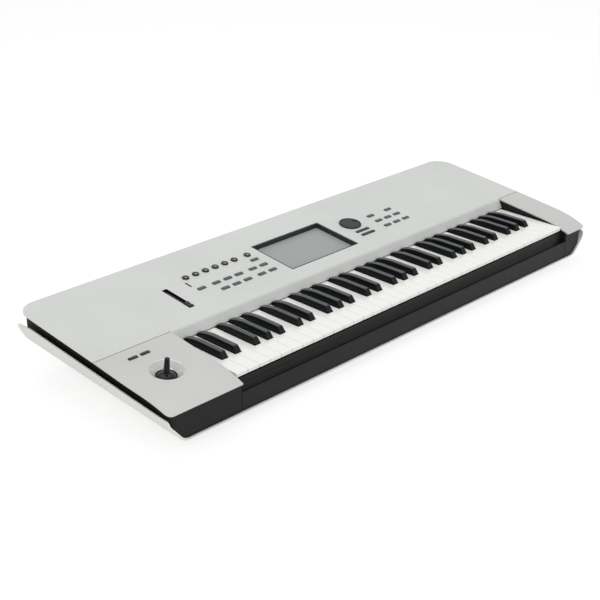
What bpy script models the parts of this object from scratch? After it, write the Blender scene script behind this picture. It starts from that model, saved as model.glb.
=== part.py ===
# Music workstation with 61 keys, a touch screen, a joystick and a row of small knobs.
# Metres, +Z up, +X towards the treble keys, +Y towards the rear. The feet stand on Z = 0.

import math

import bmesh
import bpy
from mathutils import Euler, Vector

# Overall sizes
HEIGHT = 0.116
PANEL_RUN = 0.204
LEFT_END = 0.152
RIGHT_END = 0.064
GAP = 0.0003
SIDE_GAP = 0.0005

# Keyboard
KEY_PITCH = 0.0235
OCTAVES = 5
KEY_GAP = 0.001
KEY_DROP = 0.041
KEY_THICKNESS = 0.0074
KEY_SETBACK = 0.0175
KEY_TRAVEL_DEG = 2.8
KEY_NOSE = 0.0018
SHARP_FRONT = 0.0492
SHARP_REAR = 0.1385
SHARP_BASE = 0.0127
SHARP_TOP = 0.0095
SHARP_HEIGHT = 0.011
SHARP_NOSE = 0.007
SHARP_DIP = 0.0058
SHARP_DIP_RUN = 0.036
SHARP_CLEAR = 0.001
HINGE_BACK = 0.200
ARM_OVERRUN = 0.003
ARM_WIDTH = 0.008
ARM_DROP = 0.003
RAIL_DEPTH = 0.005
RAIL_HEIGHT = 0.005
RAIL_STEP = 0.0045
RAIL_CLEAR = 0.001
WELL_MARGIN = 0.002
BED_SHEET = 0.0015
BED_FLANGE = 0.010

# Panels
PANEL_SLOPE = 0.108
CHEEK_SLOPE = 0.120
PANEL_SHEET = 0.0025
SEAM_BACK = 0.1485
SEAM_GAP = 0.0006
REAR_CORNER = 0.036
FRONT_CORNER = 0.010
ROLL_RUN = 0.062
ROLL_RADIUS = 0.220
LIP_LEAN = 0.008
LIP_CLEAR = 0.002
LIP_ROUND = 0.007
LIP_LAP = 0.012
END_NARROW = 0.0055
NARROW_RUN = 0.105
NARROW_DROP = 0.92

# Lower case
CASE_SHEET = 0.0025
FLARE_TOP_DROP = 0.0554
FLARE_SLOPE_TOP = 0.100
FLARE_LOW_DROP = 0.0676
FLARE_SLOPE_LOW = 0.0775
CHAMFER_ANGLE = math.radians(46)
FLARE_ROUND = 0.025
BILGE_ROUND = 0.025
NOSE_BOTTOM = 0.0127
BELLY_BOTTOM = 0.010
BELLY_BACK = 0.042
CASE_SETBACK = 0.002
WING_REAR = 0.003
WING_TIP_RUN = 0.040
WING_TIP_DROP = 0.0048
WING_TIP_ROUND = 0.003
WING_ROUND = 0.022
REAR_OVERHANG = 0.0235
WALL_INSET = 0.009
WALL_SHEET = 0.003
BLACK_CORNER = 0.012
FRONT_SETBACK = 0.005
SLIP_CLEAR = 0.0188
SLIP_ROUND = 0.003
SLIP_LEDGE = 0.045

# Feet
FOOT_RADIUS = 0.012
FOOT_INSET_X = 0.120
FOOT_INSET_FRONT = 0.070
FOOT_INSET_REAR = 0.060

# Controls, along Y from the seam. Along X the screen and the switches are measured from the first key,
# the other controls from the middle of the screen.
ROW_PITCH = 0.02275
ROW_FRONT = 0.0533
BUTTON_WIDTH = 0.016
BUTTON_DEPTH = 0.0066
BUTTON_PITCH = 0.0255
BUTTON_PROUD = 0.0018
BUTTON_TRAVEL = 0.0009
BUTTON_SKIRT = 0.0016
BUTTON_CLEAR = 0.0004
SINGLE_TO_SCREEN = 0.25545
GRID_TO_SCREEN = 0.22275
CLUSTER_TO_SCREEN = 0.13895
SCREEN_TO_GRID = 0.18725
RIGHT_TOP_SHIFT = 0.002
LONG_WIDTH = 0.033
LONG_DEPTH = 0.0058
LONG_ROWS = (0.0661, 0.0518)
SWITCH_X = (-0.0963, -0.0733)
SWITCH_Y = -0.0246
SWITCH_WIDTH = 0.0165
SWITCH_DEPTH = 0.0052

KNOB_COUNT = 6
KNOBS_TO_SCREEN = 0.25375
KNOB_PITCH = 0.0221
LAST_TO_SCREEN = 0.11245
KNOB_Y = 0.1188
KNOB_RADIUS = 0.0064
KNOB_HEIGHT = 0.0026
SHAFT_RADIUS = 0.003
SHAFT_CLEAR = 0.0005

SCREEN_TO_DIAL = 0.13075
DIAL_Y = 0.0975
DIAL_RADIUS = 0.0208
DIAL_HEIGHT = 0.0026
DIMPLE_RADIUS = 0.0055
DIMPLE_OFFSET = 0.0120

SLIDER_TO_SCREEN = 0.30875
SLIDER_FRONT = 0.0390
SLIDER_LENGTH = 0.0700
SLIDER_WIDTH = 0.0094
CAP_LENGTH = 0.0155
CAP_PROUD = 0.0030

SCREEN_X = 0.38475
SCREEN_Y = 0.0863
SCREEN_WIDTH = 0.1677
SCREEN_DEPTH = 0.1050
SCREEN_SUNK = 0.0080
BEZEL_WALL = 0.0014
BEZEL_FLANGE = 0.004
MODULE_THICKNESS = 0.0060

BOARD_SUNK = 0.0130
BOARD_SHEET = 0.0016
BOARD_MARGIN = 0.012

STICK_X = -0.0762
STICK_Y = -0.0784
WELL_RADIUS = 0.0277
WELL_OPENING = 0.0167
WELL_DEPTH = 0.0098
WELL_RIM = 0.0025
WELL_EDGE = 0.0006
STICK_TIP = 0.0205
STICK_RADIUS = 0.0034
DOME_RADIUS = 0.0250
DOME_TOP = 0.0055
DOME_SHEET = 0.0018
DOME_ANGLE = math.radians(70)
STICK_SWING_DEG = 20
PIVOT_PIN = 0.0014
PIVOT_CLEAR = 0.0003
HUB = 0.0080
RING_INNER = 0.0110
RING_WALL = 0.0030
RING_HEIGHT = 0.0070
LUG_SHEET = 0.0025
CUP_CLEAR = 0.0035
CUP_SHEET = 0.0022
CUP_FLOOR = 0.0440

# Rear sockets, measured along X from the first key, height above the belly
SOCKET_HEIGHT = 0.050
JACK_X = (0.120, 0.160, 0.215, 0.255, 0.300)
JACK_RADIUS = 0.0034
JACK_BODY = 0.0130
MIDI_X = (0.355, 0.385)
MIDI_RADIUS = 0.0078
USB_X = (0.430, 0.460)
USB_WIDTH = 0.0125
USB_HEIGHT = 0.0060
SOCKET_DEPTH = 0.0160
SOCKET_WALL = 0.0022
PANEL_HOLE_CLEAR = 0.0006
MAIN_BOARD_X = (0.095, 0.560)
MAIN_BOARD_DEPTH = 0.085
STANDOFF = 0.003
SUPPLY_X = (0.690, 0.815)
SUPPLY_DEPTH = 0.075
SUPPLY_HEIGHT = 0.060
SUPPLY_SHEET = 0.0015
INLET_X = 0.775
INLET_WIDTH = 0.0270
INLET_HEIGHT = 0.0190
ROCKER_X = 0.720
ROCKER_WIDTH = 0.0120
ROCKER_HEIGHT = 0.0200
ROCKER_SWING_DEG = 8
ROCKER_DEPTH = 0.0100

# Places that follow from the sizes above
NATURALS_PER_OCTAVE = 7
NATURALS = OCTAVES * NATURALS_PER_OCTAVE + 1
KEY_SPAN = NATURALS * KEY_PITCH
WIDTH = LEFT_END + KEY_SPAN + RIGHT_END
DEPTH = KEY_SETBACK + SEAM_BACK + PANEL_RUN
LEFT_X = -WIDTH / 2
RIGHT_X = WIDTH / 2
KEYS_X = LEFT_X + LEFT_END
KEYS_END_X = KEYS_X + KEY_SPAN
FRONT_Y = -DEPTH / 2
REAR_Y = DEPTH / 2
KEY_FRONT_Y = FRONT_Y + KEY_SETBACK
SEAM_Y = KEY_FRONT_Y + SEAM_BACK
HINGE_Y = KEY_FRONT_Y + HINGE_BACK
REAR_WALL_Y = REAR_Y - REAR_OVERHANG
KEY_TOP = HEIGHT - KEY_DROP
KEY_BOTTOM = KEY_TOP - KEY_THICKNESS
SLIP_TOP = KEY_BOTTOM - SLIP_CLEAR
LEFT_SINGLE_X = SCREEN_X - SINGLE_TO_SCREEN
LEFT_GRID_X = SCREEN_X - GRID_TO_SCREEN
CLUSTER_X = SCREEN_X - CLUSTER_TO_SCREEN
RIGHT_GRID_X = SCREEN_X + SCREEN_TO_GRID
KNOB_X = SCREEN_X - KNOBS_TO_SCREEN
KNOB_LAST_X = SCREEN_X - LAST_TO_SCREEN
DIAL_X = SCREEN_X + SCREEN_TO_DIAL
SLIDER_X = SCREEN_X - SLIDER_TO_SCREEN
PANEL_ANGLE = math.atan(PANEL_SLOPE)
CHEEK_ANGLE = math.atan(CHEEK_SLOPE)
SEAM_Z = HEIGHT - PANEL_SLOPE * (REAR_Y - SEAM_Y)
ROLL_Y = FRONT_Y + ROLL_RUN
HUB_DEPTH = DOME_TOP + DOME_RADIUS
FLOOR_Z = BELLY_BOTTOM + CASE_SHEET
SOCKET_Z = BELLY_BOTTOM + SOCKET_HEIGHT
ARC_STEPS = 4


def clear_scene():
    for obj in list(bpy.data.objects):
        bpy.data.objects.remove(obj, do_unlink=True)


def make_material(name, color, roughness, metallic=0.0):
    material = bpy.data.materials.new(name)
    material.use_nodes = True
    shader = material.node_tree.nodes["Principled BSDF"]
    shader.inputs["Base Color"].default_value = (*color, 1.0)
    shader.inputs["Roughness"].default_value = roughness
    shader.inputs["Metallic"].default_value = metallic
    material.diffuse_color = (*color, 1.0)
    return material


def panel_z(y):
    return HEIGHT - PANEL_SLOPE * (REAR_Y - y)


def cheek_z(y):
    z = SEAM_Z - CHEEK_SLOPE * (SEAM_Y - y)
    if y < ROLL_Y:
        z -= (ROLL_Y - y) ** 2 / (2 * ROLL_RADIUS)
    return z


def on_panel(x, y, height=0.0):
    """A point above the sloped top panel: x from the first key, y from the seam."""
    base = Vector((KEYS_X + x, SEAM_Y + y, panel_z(SEAM_Y + y)))
    return base + Vector((0, -math.sin(PANEL_ANGLE), math.cos(PANEL_ANGLE))) * height


def on_cheek(x, y, height=0.0):
    """The same above the left cheek panel, in front of the seam."""
    base = Vector((KEYS_X + x, SEAM_Y + y, cheek_z(SEAM_Y + y)))
    return base + Vector((0, -math.sin(CHEEK_ANGLE), math.cos(CHEEK_ANGLE))) * height


def narrowing(y):
    """How far each side has come in, in plan, where it nears the front."""
    part = max(1 - (y - FRONT_Y) / NARROW_RUN, 0.0)
    return END_NARROW * part ** 2


def finish_mesh(name, bm, smooth_angle=None):
    bmesh.ops.recalc_face_normals(bm, faces=bm.faces)
    mesh = bpy.data.meshes.new(name)
    bm.to_mesh(mesh)
    bm.free()
    if smooth_angle is not None:
        mesh.shade_smooth()
        mesh.set_sharp_from_angle(angle=math.radians(smooth_angle))
    return mesh


def add_object(name, mesh, location=(0, 0, 0), rotation=(0, 0, 0)):
    obj = bpy.data.objects.new(name, mesh)
    obj.location = location
    obj.rotation_euler = rotation
    bpy.context.scene.collection.objects.link(obj)
    return obj


def prism(name, outline, axis, low, high):
    """A closed outline swept along one axis. The outline holds the other two coordinates in order."""
    order = {"X": (2, 0, 1), "Y": (0, 2, 1), "Z": (0, 1, 2)}[axis]
    bm = bmesh.new()
    rings = []
    for level in (low, high):
        ring = []
        for point in outline:
            values = (point[0], point[1], level)
            ring.append(bm.verts.new([values[i] for i in order]))
        rings.append(ring)
    count = len(outline)
    bm.faces.new(rings[0])
    bm.faces.new(rings[1])
    for i in range(count):
        j = (i + 1) % count
        bm.faces.new((rings[0][i], rings[0][j], rings[1][j], rings[1][i]))
    return finish_mesh(name, bm)


def box(name, low, high):
    outline = [(low[0], low[1]), (high[0], low[1]), (high[0], high[1]), (low[0], high[1])]
    return prism(name, outline, "Z", low[2], high[2])


def centred_box(name, width, depth, low, high):
    return box(name, (-width / 2, -depth / 2, low), (width / 2, depth / 2, high))


def turned(name, profile, segments, smooth_angle=40):
    """A profile of (radius, z) points, top to bottom on its outer side, turned about Z."""
    bm = bmesh.new()
    rings = []
    for radius, z in profile:
        if radius < 1e-6:
            rings.append([bm.verts.new((0, 0, z))])
            continue
        ring = []
        for i in range(segments):
            angle = 2 * math.pi * i / segments
            ring.append(bm.verts.new((radius * math.cos(angle), radius * math.sin(angle), z)))
        rings.append(ring)
    closed = rings if len(rings[0]) == 1 and len(rings[-1]) == 1 else rings + [rings[0]]
    for upper, lower in zip(closed, closed[1:]):
        for i in range(segments):
            j = (i + 1) % segments
            if len(upper) == 1:
                bm.faces.new((upper[0], lower[i], lower[j]))
            elif len(lower) == 1:
                bm.faces.new((upper[i], lower[0], upper[j]))
            else:
                bm.faces.new((upper[i], lower[i], lower[j], upper[j]))
    return finish_mesh(name, bm, smooth_angle)


def fillet(points, radii, steps=ARC_STEPS):
    """An open path whose inner corners are rounded by their radius."""
    path = [points[0]]
    for i in range(1, len(points) - 1):
        corner = Vector(points[i])
        back = (Vector(points[i - 1]) - corner).normalized()
        ahead = (Vector(points[i + 1]) - corner).normalized()
        half = back.angle(ahead) / 2
        if radii[i - 1] <= 0:
            path.append(tuple(corner))
            continue
        reach = radii[i - 1] / math.tan(half)
        centre = corner + (back + ahead).normalized() * (radii[i - 1] / math.sin(half))
        start = corner + back * reach - centre
        end = corner + ahead * reach - centre
        for k in range(steps + 1):
            turn = k / steps
            total = start.angle(end)
            mix = start * math.sin((1 - turn) * total) + end * math.sin(turn * total)
            path.append(tuple(centre + mix / math.sin(total)))
    path.append(points[-1])
    return path


def boolean(base, others, operation):
    """Joins, cuts or trims an object by others, and keeps only the result."""
    for other in others:
        modifier = base.modifiers.new(operation.title(), "BOOLEAN")
        modifier.operation = operation
        modifier.solver = "EXACT"
        modifier.object = other
    bpy.context.view_layer.update()
    graph = bpy.context.evaluated_depsgraph_get()
    mesh = bpy.data.meshes.new_from_object(base.evaluated_get(graph))
    base.modifiers.clear()
    base.data = mesh
    for other in others:
        bpy.data.objects.remove(other, do_unlink=True)
    return base


def finish(obj, material, smooth_angle=35):
    obj.data.materials.clear()
    obj.data.materials.append(material)
    obj.data.shade_smooth()
    obj.data.set_sharp_from_angle(angle=math.radians(smooth_angle))
    return obj


def clean(obj):
    """Removes the thin slivers that a cut can leave."""
    bm = bmesh.new()
    bm.from_mesh(obj.data)
    bmesh.ops.remove_doubles(bm, verts=bm.verts, dist=1e-6)
    bmesh.ops.dissolve_limit(bm, angle_limit=math.radians(0.2), verts=bm.verts, edges=bm.edges)
    bm.to_mesh(obj.data)
    bm.free()
    return obj


# Lower case

def meet(point_a, way_a, point_b, way_b):
    """Where two lines in a plane cross."""
    cross = way_a[0] * way_b[1] - way_a[1] * way_b[0]
    dx = point_b[0] - point_a[0]
    dy = point_b[1] - point_a[1]
    along = (dx * way_b[1] - dy * way_b[0]) / cross
    return (point_a[0] + way_a[0] * along, point_a[1] + way_a[1] * along)


def side_profile(y, inset):
    """Half a section of the lower case, from the flare's edge to the flat bottom: (inwards, z)."""
    run = y - FRONT_Y
    narrow = narrowing(y)
    drop = NARROW_DROP * narrow
    top = HEIGHT - FLARE_TOP_DROP + FLARE_SLOPE_TOP * run - drop
    low = HEIGHT - FLARE_LOW_DROP + FLARE_SLOPE_LOW * run - drop
    fade = min(max(run / BELLY_BACK, 0.0), 1.0)
    bottom = NOSE_BOTTOM + (BELLY_BOTTOM - NOSE_BOTTOM) * fade
    way = (math.cos(CHAMFER_ANGLE), -math.sin(CHAMFER_ANGLE))
    inwards = (math.sin(CHAMFER_ANGLE) * inset, low + math.cos(CHAMFER_ANGLE) * inset)
    shoulder = meet((inset, 0), (0, 1), inwards, way)
    foot = meet(inwards, way, (0, bottom + inset), (1, 0))
    end = (foot[0] + BILGE_ROUND, bottom + inset)
    points = [(inset, top), shoulder, foot, end]
    path = fillet(points, (FLARE_ROUND - inset, BILGE_ROUND - inset))
    return [(x + narrow, z) for x, z in path]


def case_section(y, inset):
    """The whole section, from the left flare's edge to the right one: (x, z)."""
    half = side_profile(y, inset)
    left = [(LEFT_X + x, z) for x, z in half]
    right = [(RIGHT_X - x, z) for x, z in reversed(half)]
    return left + right


def loft(name, sections):
    """Closed solid through sections of equal length: lists of points in space."""
    bm = bmesh.new()
    rings = [[bm.verts.new(point) for point in section] for section in sections]
    count = len(rings[0])
    bm.faces.new(rings[0])
    bm.faces.new(rings[-1])
    for near, far in zip(rings, rings[1:]):
        for i in range(count):
            j = (i + 1) % count
            bm.faces.new((near[i], near[j], far[j], far[i]))
    return finish_mesh(name, bm)


def case_stations():
    half = (CASE_SETBACK + BELLY_BACK) / 2
    later = (BELLY_BACK + NARROW_RUN) / 2
    runs = (CASE_SETBACK, half, BELLY_BACK, later, NARROW_RUN)
    return [FRONT_Y + run for run in runs] + [REAR_Y - WING_REAR]


def case_space(inset):
    """The room inside the lower case, open upwards."""
    lid = HEIGHT + REAR_CORNER
    sections = []
    stations = case_stations()
    for y in [FRONT_Y - CASE_SETBACK] + stations[:-1] + [REAR_Y + REAR_CORNER]:
        section = [(x, y, z) for x, z in case_section(y, inset)]
        section[0] = (section[0][0], y, lid)
        section[-1] = (section[-1][0], y, lid)
        sections.append(section)
    return add_object("case_space", loft("case_space", sections))


def roll_stations():
    return [FRONT_Y + ROLL_RUN * i / ARC_STEPS for i in range(ARC_STEPS + 1)]


def cover_space(clearance):
    """Everything below the undersides of the panels."""
    drop = PANEL_SHEET / math.cos(CHEEK_ANGLE) + clearance
    outline = [(FRONT_Y - REAR_CORNER, cheek_z(FRONT_Y) - drop - REAR_CORNER)]
    for y in roll_stations():
        outline.append((y, cheek_z(y) - drop * 1.12))
    outline.append((SEAM_Y, SEAM_Z - drop))
    outline.append((REAR_Y + REAR_CORNER, panel_z(REAR_Y + REAR_CORNER) - drop))
    outline.append((REAR_Y + REAR_CORNER, -REAR_CORNER))
    outline.append((FRONT_Y - REAR_CORNER, -REAR_CORNER))
    mesh = prism("cover_space", outline, "X", LEFT_X - REAR_CORNER, RIGHT_X + REAR_CORNER)
    return add_object("cover_space", mesh)


def build_bottom_case(material):
    sections = []
    for y in case_stations():
        outer = [(x, y, z) for x, z in case_section(y, 0)]
        inner = [(x, y, z) for x, z in case_section(y, CASE_SHEET)]
        sections.append(outer + list(reversed(inner)))
    case = add_object("bottom_case", loft("bottom_case", sections))
    start_y = REAR_Y - WING_TIP_RUN
    start = (start_y, side_profile(start_y, 0)[0][1])
    tip_y = REAR_Y - WING_REAR
    tip = (tip_y, side_profile(tip_y, 0)[0][1] - WING_TIP_DROP)
    end_y = REAR_WALL_Y - GAP
    shoulder = (end_y, HEIGHT - FLARE_LOW_DROP + FLARE_SLOPE_LOW * (end_y - FRONT_Y))
    path = fillet([start, tip, shoulder, (end_y, -CASE_SHEET)], (WING_TIP_ROUND, WING_ROUND))
    path.insert(0, (start_y, HEIGHT))
    outline = path + [(REAR_Y + CASE_SHEET, -CASE_SHEET), (REAR_Y + CASE_SHEET, HEIGHT)]
    cutter = add_object("wing_cut", prism("wing_cut", outline, "X", LEFT_X - 0.01, RIGHT_X + 0.01))
    boolean(case, [cutter], "DIFFERENCE")
    return finish(case, material)


def build_foot(name, x, y, material):
    edge = FOOT_RADIUS * 0.12
    top = BELLY_BOTTOM - GAP
    profile = [(0, top), (FOOT_RADIUS, top), (FOOT_RADIUS, edge), (FOOT_RADIUS - edge, 0), (0, 0)]
    return finish(add_object(name, turned(name, profile, 20), (x, y, 0)), material)


# Panels

def plan_outline(left, right, front, rear, radii):
    """A rectangle in plan with its four corners rounded: front left, front right, rear right, rear left."""
    corners = [(left, front), (right, front), (right, rear), (left, rear)]
    path = []
    for i, corner in enumerate(corners):
        before = corners[i - 1]
        after = corners[(i + 1) % 4]
        rounded = fillet([before, corner, after], (radii[i],), ARC_STEPS * 2)
        path += rounded[1:-1]
    return path


def build_top_panel(material):
    low_x = LEFT_X + SIDE_GAP
    high_x = RIGHT_X - SIDE_GAP
    front = SEAM_Y + SEAM_GAP
    lap = SEAM_Y + LIP_LAP
    lip_low = KEYS_X - WELL_MARGIN + SIDE_GAP
    lip_high = KEYS_END_X + WELL_MARGIN - SIDE_GAP
    rounded = plan_outline(low_x, high_x, front, REAR_Y, (0, 0, REAR_CORNER, REAR_CORNER))
    notch = [(lip_low, front), (lip_low, lap), (lip_high, lap), (lip_high, front)]
    outline = rounded[:1] + notch + rounded[1:]
    bm = bmesh.new()
    sheet = PANEL_SHEET / math.cos(PANEL_ANGLE)
    upper = [bm.verts.new((x, y, panel_z(y))) for x, y in outline]
    lower = [bm.verts.new((x, y, panel_z(y) - sheet)) for x, y in outline]
    bm.faces.new(upper)
    bm.faces.new(list(reversed(lower)))
    for i in range(len(outline)):
        j = (i + 1) % len(outline)
        bm.faces.new((upper[j], upper[i], lower[i], lower[j]))
    panel = add_object("top_panel", finish_mesh("top_panel", bm))
    boolean(panel, [add_object("lip", lip_mesh())], "UNION")
    boolean(panel, [add_object("panel_cuts", panel_cuts())], "DIFFERENCE")
    return finish(clean(panel), material)


def lip_mesh():
    """The fascia over the rear of the keys, a strip bent down from the panel's front edge."""
    foot_y = SEAM_Y - LIP_LEAN
    foot_z = KEY_TOP + LIP_CLEAR
    back = SEAM_Y + 2 * LIP_LAP
    inner = PANEL_SHEET
    outer_path = fillet([(back, panel_z(back)), (SEAM_Y, SEAM_Z), (foot_y, foot_z)], (LIP_ROUND,))
    low_back = (back, panel_z(back) - inner)
    low_seam = (SEAM_Y + inner, SEAM_Z - inner)
    inner_path = fillet([low_back, low_seam, (foot_y + inner, foot_z)], (LIP_ROUND - inner,))
    outline = outer_path + list(reversed(inner_path))
    low = KEYS_X - WELL_MARGIN + SIDE_GAP
    high = KEYS_END_X + WELL_MARGIN - SIDE_GAP
    return prism("lip", outline, "X", low, high)


def join_meshes(name, placed):
    """One mesh from several, each with its place. The pieces don't meet."""
    bm = bmesh.new()
    for mesh, location, rotation in placed:
        matrix = Euler(rotation).to_matrix().to_4x4()
        matrix.translation = Vector(location)
        part = bmesh.new()
        part.from_mesh(mesh)
        part.transform(matrix)
        copy = bpy.data.meshes.new(name)
        part.to_mesh(copy)
        part.free()
        bm.from_mesh(copy)
    return finish_mesh(name, bm)


def button_places():
    """Each small or long button of the top panel: its group, x, y, width and depth."""
    rows = [ROW_FRONT + ROW_PITCH * i for i in range(3)]
    grid = [BUTTON_PITCH * i for i in range(3)]
    size = (BUTTON_WIDTH, BUTTON_DEPTH)
    places = [("button_left_single", LEFT_SINGLE_X, rows[1], *size)]
    places += [("buttons_left_rear_row", LEFT_GRID_X + x, rows[1], *size) for x in grid]
    places += [("buttons_left_front_row", LEFT_GRID_X + x, rows[0], *size) for x in grid]
    places += [("buttons_left_cluster", CLUSTER_X + x, y, *size) for x in grid[:2] for y in rows[:2]]
    places += [("button_left_top", CLUSTER_X + grid[1], rows[2], *size)]
    places += [("button_right_top_a", RIGHT_GRID_X + RIGHT_TOP_SHIFT, rows[2], *size)]
    places += [("button_right_top_b", RIGHT_GRID_X + grid[2], rows[2], *size)]
    places += [("buttons_right_rear_row", RIGHT_GRID_X + x, rows[1], *size) for x in grid]
    places += [("buttons_right_front_row", RIGHT_GRID_X + x, rows[0], *size) for x in grid]
    places += [("button_increase", DIAL_X, LONG_ROWS[0], LONG_WIDTH, LONG_DEPTH)]
    places += [("button_decrease", DIAL_X, LONG_ROWS[1], LONG_WIDTH, LONG_DEPTH)]
    return places


def knob_places():
    xs = [KNOB_X + KNOB_PITCH * i for i in range(KNOB_COUNT)] + [KNOB_LAST_X]
    return [("knob_%d" % (i + 1), x, KNOB_Y) for i, x in enumerate(xs)]


def panel_cuts():
    deep = PANEL_SHEET * 2
    tilt = (PANEL_ANGLE, 0, 0)
    placed = []
    for _, x, y, width, depth in button_places():
        hole = centred_box("hole", width + 2 * BUTTON_CLEAR, depth + 2 * BUTTON_CLEAR, -deep, deep)
        placed.append((hole, on_panel(x, y), tilt))
    radius = SHAFT_RADIUS + SHAFT_CLEAR
    profile = [(0, deep), (radius, deep), (radius, -deep), (0, -deep)]
    for _, x, y in knob_places() + [("dial", DIAL_X, DIAL_Y)]:
        placed.append((turned("hole", profile, 16), on_panel(x, y), tilt))
    slot = centred_box("slot", SLIDER_WIDTH, SLIDER_LENGTH, -deep, deep)
    placed.append((slot, on_panel(SLIDER_X, SLIDER_FRONT + SLIDER_LENGTH / 2), tilt))
    window = centred_box("window", SCREEN_WIDTH, SCREEN_DEPTH, -deep, deep)
    placed.append((window, on_panel(SCREEN_X, SCREEN_Y), tilt))
    return join_meshes("panel_cuts", placed)


def cheek_sheet(name, low_x, high_x):
    """A bent sheet that follows the cheek's slope and its rolled front."""
    stations = roll_stations() + [SEAM_Y]
    upper = [(y, cheek_z(y)) for y in stations]
    lower = []
    for i, (y, z) in enumerate(upper):
        near = upper[max(i - 1, 0)]
        far = upper[min(i + 1, len(upper) - 1)]
        angle = math.atan2(far[1] - near[1], far[0] - near[0])
        lower.append((y, z - PANEL_SHEET / math.cos(angle)))
    return prism(name, upper + list(reversed(lower)), "X", low_x, high_x)


def cheek_outline(outer_x, inner_x):
    """The cheek in plan: its outer edge comes in towards the rounded front corner."""
    side = 1 if inner_x > outer_x else -1
    points = [(outer_x, SEAM_Y)]
    radii = []
    for i in range(ARC_STEPS):
        y = FRONT_Y + NARROW_RUN * (1 - i / ARC_STEPS)
        points.append((outer_x + side * narrowing(y), y))
        radii.append(0)
    points += [(outer_x + side * END_NARROW, FRONT_Y), (inner_x, FRONT_Y), (inner_x, SEAM_Y)]
    return fillet(points, radii + [FRONT_CORNER, FRONT_CORNER / 4], ARC_STEPS * 2)


def build_cheek(name, outer_x, inner_x, material):
    ends = sorted((outer_x, inner_x))
    cheek = add_object(name, cheek_sheet(name, ends[0] - SIDE_GAP, ends[1] + SIDE_GAP))
    outline = cheek_outline(outer_x, inner_x)
    plan = add_object("plan", prism("plan", outline, "Z", -HEIGHT, 2 * HEIGHT))
    boolean(cheek, [plan], "INTERSECT")
    return finish(cheek, material)


def build_left_cheek(material):
    cheek = build_cheek("left_cheek_panel", LEFT_X + SIDE_GAP, KEYS_X - WELL_MARGIN, material)
    tilt = (CHEEK_ANGLE, 0, 0)
    deep = PANEL_SHEET * 2
    hole_profile = [(0, deep), (WELL_RADIUS, deep), (WELL_RADIUS, -deep), (0, -deep)]
    placed = [(turned("hole", hole_profile, 48), on_cheek(STICK_X, STICK_Y), tilt)]
    for x in SWITCH_X:
        width = SWITCH_WIDTH + 2 * BUTTON_CLEAR
        slot = centred_box("slot", width, SWITCH_DEPTH + 2 * BUTTON_CLEAR, -deep, deep)
        placed.append((slot, on_cheek(x, SWITCH_Y), tilt))
    boolean(cheek, [add_object("cheek_cuts", join_meshes("cheek_cuts", placed))], "DIFFERENCE")
    lip = WELL_RADIUS + WELL_RIM
    base = PANEL_SHEET * 0.8
    well = [(WELL_RADIUS - 0.0004, -0.0004), (lip, -0.0004), (lip, -base)]
    well += [(WELL_OPENING + WELL_RIM, -WELL_DEPTH - 0.6 * WELL_RIM), (WELL_OPENING, -WELL_DEPTH - WELL_EDGE)]
    well += [(WELL_OPENING, -WELL_DEPTH)]
    funnel = add_object("funnel", turned("funnel", well, 48), on_cheek(STICK_X, STICK_Y), tilt)
    boolean(cheek, [funnel], "UNION")
    return finish(clean(cheek), material)


# End frames, key slip and rear panel

def build_end_frame(name, outer_x, inner_x, material):
    """Black frame under a cheek: front face, rounded corner, recessed side wall, wall beside the keys."""
    side = 1 if inner_x > outer_x else -1
    wall_x = outer_x + side * WALL_INSET
    front = FRONT_Y + FRONT_SETBACK
    sheet = WALL_SHEET
    well_end = SEAM_Y - SIDE_GAP
    outer_path = fillet([(wall_x, REAR_WALL_Y - GAP), (wall_x, front), (inner_x, front)], (BLACK_CORNER,))
    outer_path += [(inner_x, well_end), (inner_x - side * sheet, well_end)]
    inner_points = [(inner_x - side * sheet, front + sheet), (wall_x + side * sheet, front + sheet)]
    inner_points.append((wall_x + side * sheet, REAR_WALL_Y - GAP))
    inner_path = fillet(inner_points, (BLACK_CORNER - sheet,))
    outline = outer_path + inner_path
    frame = add_object(name, prism(name, outline, "Z", -0.01, HEIGHT + 0.01))
    spaces = [case_space(CASE_SHEET + GAP), cover_space(GAP)]
    boolean(frame, spaces, "INTERSECT")
    return finish(clean(frame), material)


def build_key_slip(material):
    front = FRONT_Y + FRONT_SETBACK
    sheet = WALL_SHEET
    rear = front + SLIP_LEDGE
    outer = fillet([(front, 0), (front, SLIP_TOP), (rear, SLIP_TOP)], (SLIP_ROUND,))
    inner = fillet([(rear, SLIP_TOP - sheet), (front + sheet, SLIP_TOP - sheet), (front + sheet, 0)],
                   (SLIP_ROUND - sheet,))
    low = KEYS_X - WELL_MARGIN + GAP
    high = KEYS_END_X + WELL_MARGIN - GAP
    slip = add_object("key_slip", prism("key_slip", outer + inner, "X", low, high))
    boolean(slip, [case_space(CASE_SHEET + GAP)], "INTERSECT")
    return finish(clean(slip), material)


def socket_places():
    """Every rear socket: kind, x from the first key, and its half width and half height."""
    places = [("jack", x, JACK_RADIUS, JACK_RADIUS) for x in JACK_X]
    places += [("midi", x, MIDI_RADIUS, MIDI_RADIUS) for x in MIDI_X]
    places += [("usb", x, USB_WIDTH / 2, USB_HEIGHT / 2) for x in USB_X]
    return places


def along_y(name, kind, half_width, half_height, low, high):
    """A round or square bar along Y, centred on its own origin."""
    if kind == "usb":
        return box(name, (-half_width, low, -half_height), (half_width, high, half_height))
    outline = []
    for i in range(16):
        angle = 2 * math.pi * i / 16
        outline.append((half_width * math.cos(angle), half_height * math.sin(angle)))
    return prism(name, outline, "Y", low, high)


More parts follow.
